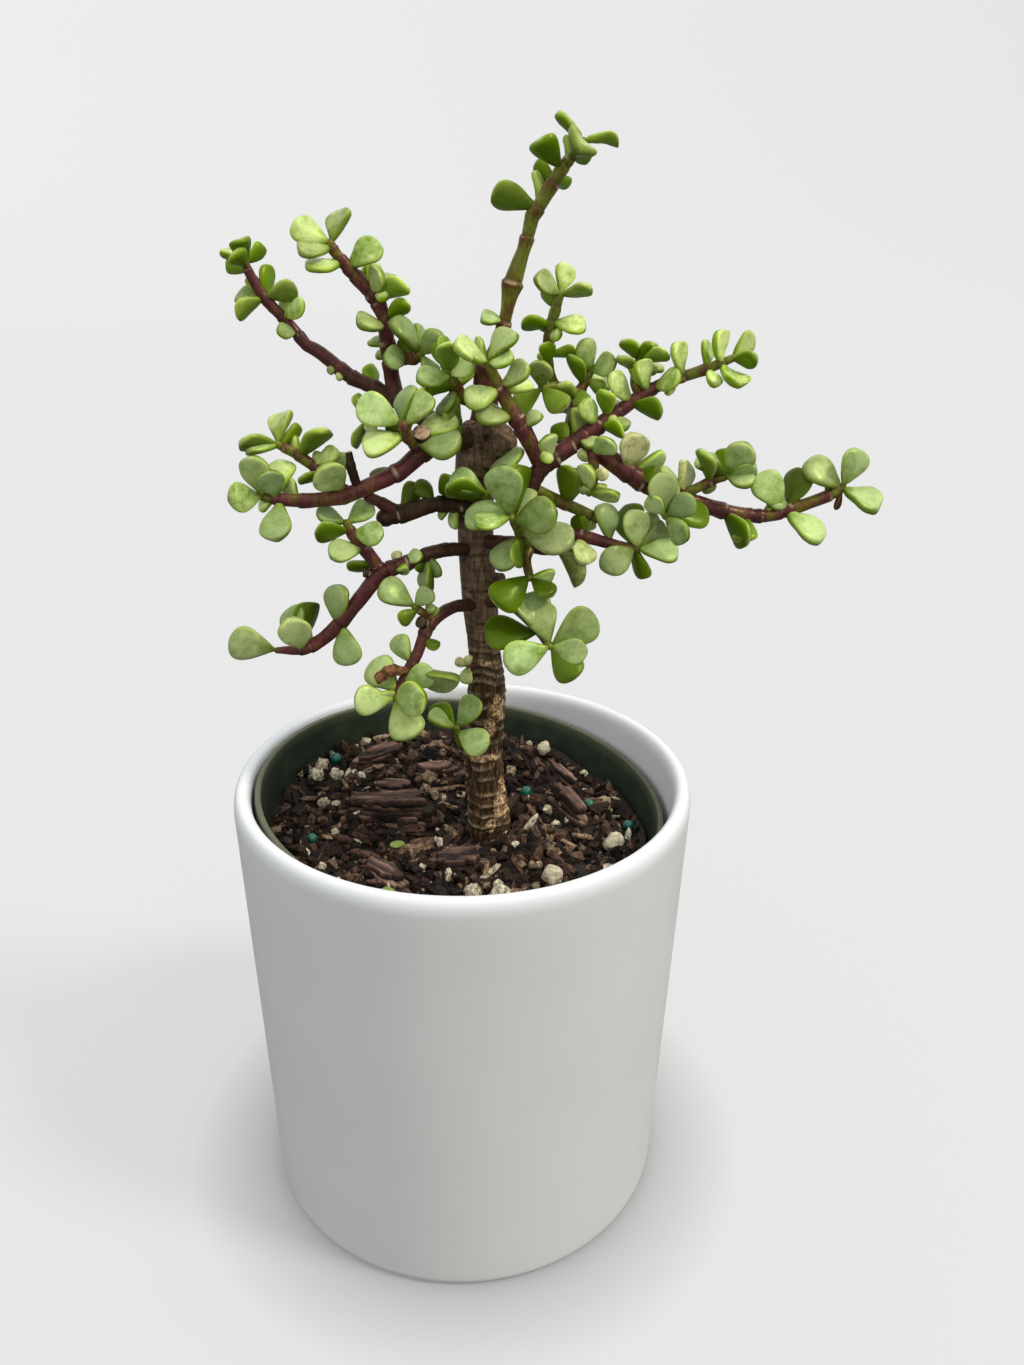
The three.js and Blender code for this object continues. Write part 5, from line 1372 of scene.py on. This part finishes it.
def trunk_wood():
    """The trunk: a wide tube with broken ring ridges, upright cracks and scabs, and its stubs."""
    marks = {}

    def bark(share, angle, skin):
        marks.update(trunk_marks(skin, angle))
        old = marks["old"]
        upright = rough(skin * [1, 1, 0.16], 1.3, 5, 4)
        crack = smooth_step(1 - np.abs(2 * lattice_noise(skin * [1, 1, 0.2], 1.6, 8) - 1), 0.86, 1.0)
        marks["groove"] = np.maximum(marks["groove"], (0.35 + 0.45 * old) * crack)
        torn = rough(skin, 2.0, 19, 4) * smooth_step(share, 0.965, 0.995)
        flute = 0.035 * np.sin(3 * angle + 0.05 * skin[..., 2])
        relief = (0.03 + 0.09 * old) * upright + flute + 0.055 * marks["ring"] * old
        flaked = 0.05 * marks["scab"] * (0.4 + 2.2 * rough(skin, 1.0, 21, 3))
        return 1 + relief + flaked + 0.5 * torn - (0.03 + 0.05 * old) * marks["groove"]

    rings = swept(TRUNK["stem"], sides=96, spacing=0.5, swell=bark)
    made = tubes("trunk_wood", rings[None], {mark: values[None] for mark, values in marks.items()})
    stubs = [trunk_stub(f"trunk_stub_{index}", rows) for index, rows in enumerate(TRUNK["stubs"])]
    return stands_for(joined_with(made, *stubs), "trunk", trunk_bark())


def trunk_stub(name, rows):
    """A cut stub on the trunk's head: upright grain round it, and a nearly flat scabbed end."""
    marks = {}

    def grain(share, angle, skin):
        marks["groove"] = 0.8 * smooth_step(rough(skin, 1.2, 12, 3), 0.12, 0.3)
        return 1 + 0.10 * rough(skin, 1.5, 9, 3) - 0.05 * marks["groove"]

    rings = swept(rows, sides=48, spacing=0.4, swell=grain, bulge=0.3)
    patches = 0.5 + 0.5 * np.sign(rough(rings, 1.1, 14, 3))
    marks["scab"] = 0.2 * cut_end(rings.shape[:2]) * patches
    marks["ring"] = 0 * marks["scab"]
    marks["old"] = 0.3 + 0 * marks["scab"]
    return tubes(name, rings[None], {mark: values[None] for mark, values in marks.items()})


def joints_of(branch, length):
    """The shares of a stem at which it is jointed: about where leaves stand, and evenly between them.

    The joints between are as many as leave each length at least the joint spacing.
    """
    if "joints" in branch:
        return np.array(branch["joints"])
    leaves = branch.get("leaves", [])
    spots = sorted({round(leaf[0], 1) for leaf in leaves if 0.04 < leaf[0] < 0.96})
    marks = [0.0, *spots, 1.0]
    filled = set(spots)
    for here, after in zip(marks, marks[1:]):
        parts = int((after - here) * length / STEM_JOINT_SPACING)
        filled.update(here + (after - here) * k / parts for k in range(1, parts))
    return np.array(sorted(filled) or [0.5])


def stem_tube(name, rows, joints, tint, collar_size, cut=None, withered=False):
    """A jointed stem: each length widens into a collar, then steps in to the next one.

    Before a joint the radius grows as a bell curve does, by collar_size of itself, and after it drops at
    once. Collars carry a tan scar, and the step under the next length is dark. A cut end is nearly flat
    and by its share pale, and a withered one is crumpled.
    """
    length = np.linalg.norm(np.diff(places(rows), axis=0), axis=1).sum()
    start, end = tint
    crumple = 0.7 if withered else 0.0
    marks = {}

    def skin_of(share, angle, skin):
        before = (joints - share[..., None]) * length
        collar = np.where(before > 0, np.exp(-(before / 1.9) ** 2), np.exp(-(before / 0.22) ** 2))
        collar = collar.max(axis=-1) + 0 * angle
        step = np.exp(-((before + 0.5) / 0.28) ** 2).max(axis=-1) + 0 * angle
        edge = np.exp(-((before - 0.1) / 0.3) ** 2).max(axis=-1) + 0 * angle
        coarse, fine = rough(skin, 3.0, 13, 3), rough(skin, 1.1, 15, 2)
        here = start + (end - start) * share + 0 * angle
        woody = 1 - smooth_step(here, 0.3, 1.0)
        side = smooth_step(np.cos(2 * angle + 9 * share), 0.1, 0.8)
        marks["scar"] = edge * side * smooth_step(coarse, 0.0, 0.2)
        marks["groove"] = np.maximum(step * 0.75, woody * smooth_step(fine, 0.16, 0.3) * 0.8)
        marks["tint"] = np.clip((here - 0.35 * collar * (here > 0.9)) / 2, 0, 1)
        marks["cut"] = 0 * edge
        marks["withered"] = 0 * edge + withered
        wrinkle = crumple * rough(skin, 1.8, 17, 3)
        relief = 0.08 * coarse + 0.14 * fine * woody - 0.04 * step + wrinkle
        return 1 - 0.2 * collar_size + relief + collar_size * collar

    rings = swept(rows, sides=22, spacing=0.4, swell=skin_of, bulge=1.0 if cut is None else 0.25)
    if cut is not None:
        marks["cut"] = cut * cut_end(rings.shape[:2])
    return tubes(name, rings[None], {mark: values[None] for mark, values in marks.items()})


def stem_wood(name, branch):
    """A branch or a shoot's stem, with the cut or broken stubs on it."""
    rows = branch["stem"]
    length = np.linalg.norm(np.diff(places(rows), axis=0), axis=1).sum()
    joints = joints_of(branch, length)
    made = stem_tube(f"{name}_stem", rows, joints, branch["tint"], branch.get("collar", PLAIN_COLLAR))
    looks = {
        "joints": np.array([0.7]),
        "tint": (0.1, 0.1),
        "collar_size": 0.1,
        "cut": branch.get("cut", 0.15),
        "withered": branch.get("withered", False),
    }
    stubs = [
        stem_tube(f"{name}_stub_{index}", stub, **looks)
        for index, stub in enumerate(branch.get("stubs", []))
    ]
    if stubs:
        made = joined_with(made, *stubs)
    return stands_for(made, name, STEM_SKIN)


# ---------------------------------------------------------------- leaves
def leaf_frames(rows, leaves):
    """Each leaf's foot, direction, upper face and length, from its row."""
    route = places(rows)
    at, clock, lean, length, facing = np.array([leaf[:5] for leaf in leaves], float).T[..., None]
    foot = along(route, at[:, 0])
    to_eye = unit(EYE - foot)
    clock, lean, facing = np.radians(clock), np.radians(lean), np.radians(facing)
    flat = square_to(GAZE_SIDE, to_eye) * np.sin(clock) + square_to(GAZE_TOP, to_eye) * np.cos(clock)
    direction = unit(unit(flat) * np.cos(lean) + to_eye * np.sin(lean))
    full = square_to(EYE - foot, direction)
    side = np.cross(direction, full)
    hand = np.where(dot(side, heading(route, at[:, 0])) < 0, -1, 1)
    face = full * np.cos(facing) + side * hand * np.sin(facing)
    return foot, direction, face, length[:, 0]


def leaf_outline(t, wedge):
    """Half the leaf's width as a share of its greatest: a wedge at the foot and a round end.

    It is t to the power of wedge, times a power of one less a power of t, over what that is at its peak.
    """

    def shape(place):
        return place**wedge * (1 - place**LEAF_END_ROUNDNESS) ** LEAF_END_BLUNTNESS

    peak = (wedge / (wedge + LEAF_END_ROUNDNESS * LEAF_END_BLUNTNESS)) ** (1 / LEAF_END_ROUNDNESS)
    return shape(t) / shape(peak)


def leaf_surface(rng, branch, dried):
    """A shoot's leaves: a flattened oval carried from foot to tip, with more points towards its edges.

    The width follows the outline, the upper side is domed, and the lower side is flatter with fuller
    flanks. Each leaf is cupped, bows along its length and twists, by random amounts. Returns the points
    (leaf, ring, side, xyz), how far along the leaf they are, how high on the oval and how near its edge.
    """
    foot, direction, face, length = leaf_frames(branch["stem"], branch["leaves"])
    count, rings, sides = len(length), 20, 24
    t = 0.5 - 0.5 * np.cos(np.linspace(0.16, np.pi - 0.05, rings))[None, :, None]
    angle = np.linspace(0, 2 * np.pi, sides, endpoint=False)[None, None]
    angle = angle - 0.3 * np.sin(2 * angle)
    size = length[:, None, None]
    outline = leaf_outline(t, rng.uniform(0.85, 1.15, (count, 1, 1)))
    width = size * LEAF_WIDTH * rng.uniform(0.93, 1.07, (count, 1, 1)) / 2
    width = width * np.where(dried, 0.35, 1)[:, None, None]
    half = np.maximum(width * outline, 0.5 * smooth_step(1 - t, 0, 0.5))
    plump = LEAF_THICKNESS * np.clip(size / 10, 0.84, 1.12) * (0.4 + 0.6 * np.sqrt(outline + 1e-9))
    plump = np.minimum(plump * rng.uniform(0.9, 1.15, (count, 1, 1)), 1.8 * half)
    lift = np.sin(angle)
    across = half * np.sign(np.cos(angle)) * np.abs(np.cos(angle)) ** 0.86
    blade = 0.58 * plump * np.sign(lift) * np.abs(lift) ** np.where(lift > 0, 0.95, 0.72)
    edge = np.abs(across) / half
    fold = rng.uniform(-0.04, 0.46, (count, 1, 1)) * half * edge**2.2
    bow = rng.uniform(-0.05, 0.14, (count, 1, 1)) * size * 2 * t * (1 - t)
    curl = rng.uniform(-0.12, 0.10, (count, 1, 1)) * size * t**3
    twist = rng.uniform(-0.16, 0.16, (count, 1, 1)) * across * t
    ripple = 0.06 * half * edge**2 * np.sin(rng.uniform(4, 9, (count, 1, 1)) * t + size)
    rise = blade + fold * smooth_step(t, 0.05, 0.5) + bow + curl + twist + ripple
    beside = np.cross(face, direction)
    points = (
        foot[:, None, None] + direction[:, None, None] * (size * t + 0 * angle)[..., None]
        + beside[:, None, None] * across[..., None] + face[:, None, None] * rise[..., None]
    )
    points = points + face[:, None, None] * (0.24 * rough(points, 2.4, 41, 2))[..., None]
    return points, t, lift, edge


def leaf_marks(rng, lime_and_light, extra, t, lift, edge):
    """What the leaf's skin is coloured by: places on the leaf, and values of the whole leaf.

    The places are its upper side, whose underside is partly painted shade, its rim, for a painted highlight,
    its middle, for a painted sheen, and its share of the way to the tip, for painted shade at the foot. The
    values are its tone, freshness, lime, which is partly painted light, speckles, cream and whether it has
    dried.
    """
    count = len(extra)
    stray = rng.uniform(-0.3, 0.3, count) * lime_and_light
    cream = np.clip(stray + np.clip(extra, 0, 1), 0, 1)[:, None, None]
    # where the rim's painted highlight goes: a band on the upper side of the edge
    rim = np.exp(-((lift - 0.18) / 0.26) ** 2) * (0.25 + 0.75 * smooth_step(t, 0.1, 0.6))
    return {
        "upper": 0.5 + 0.5 * lift,
        "rim": rim * rng.uniform(0.45, 1.0, (count, 1, 1)),
        "centre": (1 - edge**2) * smooth_step(t, 0.15, 0.55),
        "share": t,
        "tone": rng.uniform(0, 1, count)[:, None, None],
        "fresh": rng.uniform(0, 1, count)[:, None, None],
        "lime_and_light": np.clip(lime_and_light + rng.uniform(-0.25, 0.25, count), 0, 1)[:, None, None],
        "speckled": rng.uniform(0, 0.8, count)[:, None, None] * (1 - lime_and_light),
        "cream": cream * np.maximum(0.35 + 0.65 * edge**2, cream),
        "dried": (extra == DRIED).astype(float)[:, None, None],
    }


def leaf_blades(name, branch):
    """All the leaves of a branch or shoot, as one piece."""
    rng = np.random.default_rng(sum(map(ord, name)))
    extra = np.array([leaf[5] if len(leaf) > 5 else 0 for leaf in branch["leaves"]], float)
    points, t, lift, edge = leaf_surface(rng, branch, extra == DRIED)
    made = tubes(f"{name}_leaves", points, leaf_marks(rng, branch["lime_and_light"], extra, t, lift, edge))
    return stands_for(made, name, LEAF_SKIN)


def tree():
    """The trunk, then each branch and shoot: a stem piece and, where it has leaves, a leaf piece."""
    trunk_wood()
    for name, branch in BRANCHES.items():
        stem_wood(name, branch)
        if branch.get("leaves"):
            leaf_blades(name, branch)


# ---------------------------------------------------------------- studio
FRAME_HEIGHT_PX = 1365
FOCAL_LENGTH_PX = 1087.2
SENSOR_MM = 36
PAPER_GLOW = 0.46
PAPER_GREY = 0.28
DOME_LEVELS = [(0.0, 0.2), (0.46, 0.24), (0.56, 0.66), (1.0, 1.15)]  # the dome's light from nadir to zenith
DOME_COLOUR = np.array([0.95, 0.985, 1.0])
KEY_BEARING = 68  # from the front towards the right
KEY_HEIGHT = 50
KEY_SPREAD = 12
KEY_STRENGTH = 1.45
KEY_COLOUR = (1.0, 0.94, 0.85)


def pose_of(side, top, back, place):
    """The 4 x 4 placing of a camera or light from its three axes and its place in metres."""
    return Matrix(np.vstack([np.column_stack([side, top, back, place]), [0, 0, 0, 1]]).tolist())


def camera():
    """The camera stands within a millimetre of the eye, with the frame's long side upright."""
    roll = np.radians(GAZE_ROLL)
    side = np.cos(roll) * GAZE_SIDE + np.sin(roll) * GAZE_TOP
    top = np.cross(side, GAZE)
    lens = bpy.data.cameras.new("front_camera")
    lens.lens = FOCAL_LENGTH_PX / FRAME_HEIGHT_PX * SENSOR_MM
    lens.sensor_width = SENSOR_MM
    lens.clip_start = 0.01
    made = bpy.data.objects.new("front_camera", lens)
    bpy.context.scene.collection.objects.link(made)
    made.matrix_world = pose_of(side, top, -GAZE, CAMERA_PLACE * MM)
    bpy.context.scene.camera = made


def key_light():
    """A soft far light from the right and a little in front, KEY_HEIGHT degrees above the level."""
    light = bpy.data.lights.new("key", "SUN")
    light.angle = np.radians(KEY_SPREAD)
    light.energy = KEY_STRENGTH
    light.color = KEY_COLOUR
    made = bpy.data.objects.new("key", light)
    bpy.context.scene.collection.objects.link(made)
    bearing, height = np.radians(KEY_BEARING), np.radians(KEY_HEIGHT)
    back = np.array([
        np.sin(bearing) * np.cos(height), -np.cos(bearing) * np.cos(height), np.sin(height),
    ])
    side = unit(np.cross(UP, back))
    made.matrix_world = pose_of(side, np.cross(back, side), back, back)


def studio_paper():
    """Grey paper that glows a little, so that the tree's shadow on it stays faint.

    The glow grows with height, and fades out towards the planter's foot, which paints a contact shadow round
    it.
    """
    paper = Finish("studio_paper", 0.95, Specular_IOR_Level=0.0)
    paper.shader.inputs["Base Color"].default_value = (PAPER_GREY,) * 3 + (1,)
    height = paper.nodes.new("ShaderNodeSeparateXYZ")
    paper.links.new(paper.object_place, height.inputs["Vector"])
    glow = paper.ramp(height.outputs["Z"], (0.0, PAPER_GLOW), (0.9, PAPER_GLOW + 0.19))
    radius = paper.nodes.new("ShaderNodeVectorMath")
    radius.operation = "LENGTH"
    paper.links.new(paper.object_place, radius.inputs[0])
    # painted contact shadow: no glow within 50 mm of the axis, full glow from 90 mm out
    clear = paper.ramp(radius.outputs["Value"], (0.05, 0.0), (0.066, 0.55), (0.09, 1.0))
    glow = paper.mix(1.0, glow, clear, "MULTIPLY")
    paper.links.new(glow, paper.shader.inputs["Emission Color"])
    paper.shader.inputs["Emission Strength"].default_value = 1.0
    return paper.material


def studio_bowl():
    """The pale floor that curves up into a backdrop all round: one section turned about Z."""
    flat, curve, top = 2400.0, 900.0, 6000.0
    turn = np.linspace(0, np.pi / 2, 14)[1:]
    section = np.array(
        [[NEAR_AXIS, 0], [flat / 8, 0], [flat / 2, 0], [flat, 0]]
        + [[flat + curve * np.sin(a), curve * (1 - np.cos(a))] for a in turn]
        + [[flat + curve, top]]
    )
    sides = 96
    angle = np.linspace(0, 2 * np.pi, sides, endpoint=False)
    rings = np.stack([
        section[:, :1] * np.cos(angle), section[:, :1] * np.sin(angle), section[:, 1:] + 0 * angle,
    ], axis=-1)
    ring, side = np.meshgrid(np.arange(len(section) - 1), np.arange(sides), indexing="ij")
    here, beside = ring * sides + side, ring * sides + (side + 1) % sides
    faces = np.stack([here, here + sides, beside + sides, beside], axis=-1).reshape(-1, 4).tolist()
    made = mesh_of("studio_bowl", rings, faces)
    made.data.materials.append(studio_paper())
    made.visible_diffuse = False  # the tree is lit by the dome, not by the paper
    made.visible_glossy = False
    made.visible_shadow = False


def dome_light():
    """A dome of light that is brightest overhead and dim below the level."""
    world = bpy.data.worlds.new("studio_dome")
    bpy.context.scene.world = world
    world.use_nodes = True
    nodes, links = world.node_tree.nodes, world.node_tree.links
    dome = nodes["Background"]
    dome.inputs["Strength"].default_value = 1.0
    split = nodes.new("ShaderNodeSeparateXYZ")
    links.new(nodes.new("ShaderNodeTexCoord").outputs["Generated"], split.inputs["Vector"])
    ramp = nodes.new("ShaderNodeValToRGB")
    while len(ramp.color_ramp.elements) < len(DOME_LEVELS):
        ramp.color_ramp.elements.new(0.5)
    for element, (place, level) in zip(ramp.color_ramp.elements, DOME_LEVELS):
        element.position = place
        element.color = (*(level * DOME_COLOUR), 1)
    share = nodes.new("ShaderNodeMapRange")
    share.inputs["From Min"].default_value = -1
    links.new(split.outputs["Z"], share.inputs["Value"])
    links.new(share.outputs["Result"], ramp.inputs["Fac"])
    links.new(ramp.outputs["Color"], dome.inputs["Color"])


def studio():
    """Plain soft light, and the bowl that the planter stands in."""
    dome_light()
    key_light()
    bpy.context.scene.view_settings.view_transform = "Standard"
    studio_bowl()


camera()
STEM_SKIN = stem_skin()
LEAF_SKIN = leaf_skin()
SPLIT_BARK = bark_chip_finish()
PUMICE = pumice_finish()
BEAD = bead_finish()
CRUMB = crumb_finish()
planter_shell()
nursery_pot_shell()
mix_bed()
mix_crumbs()
mix_flakes()
placed_bits()
bits_on_the_mix()
on_the_mix()
tree()
studio()
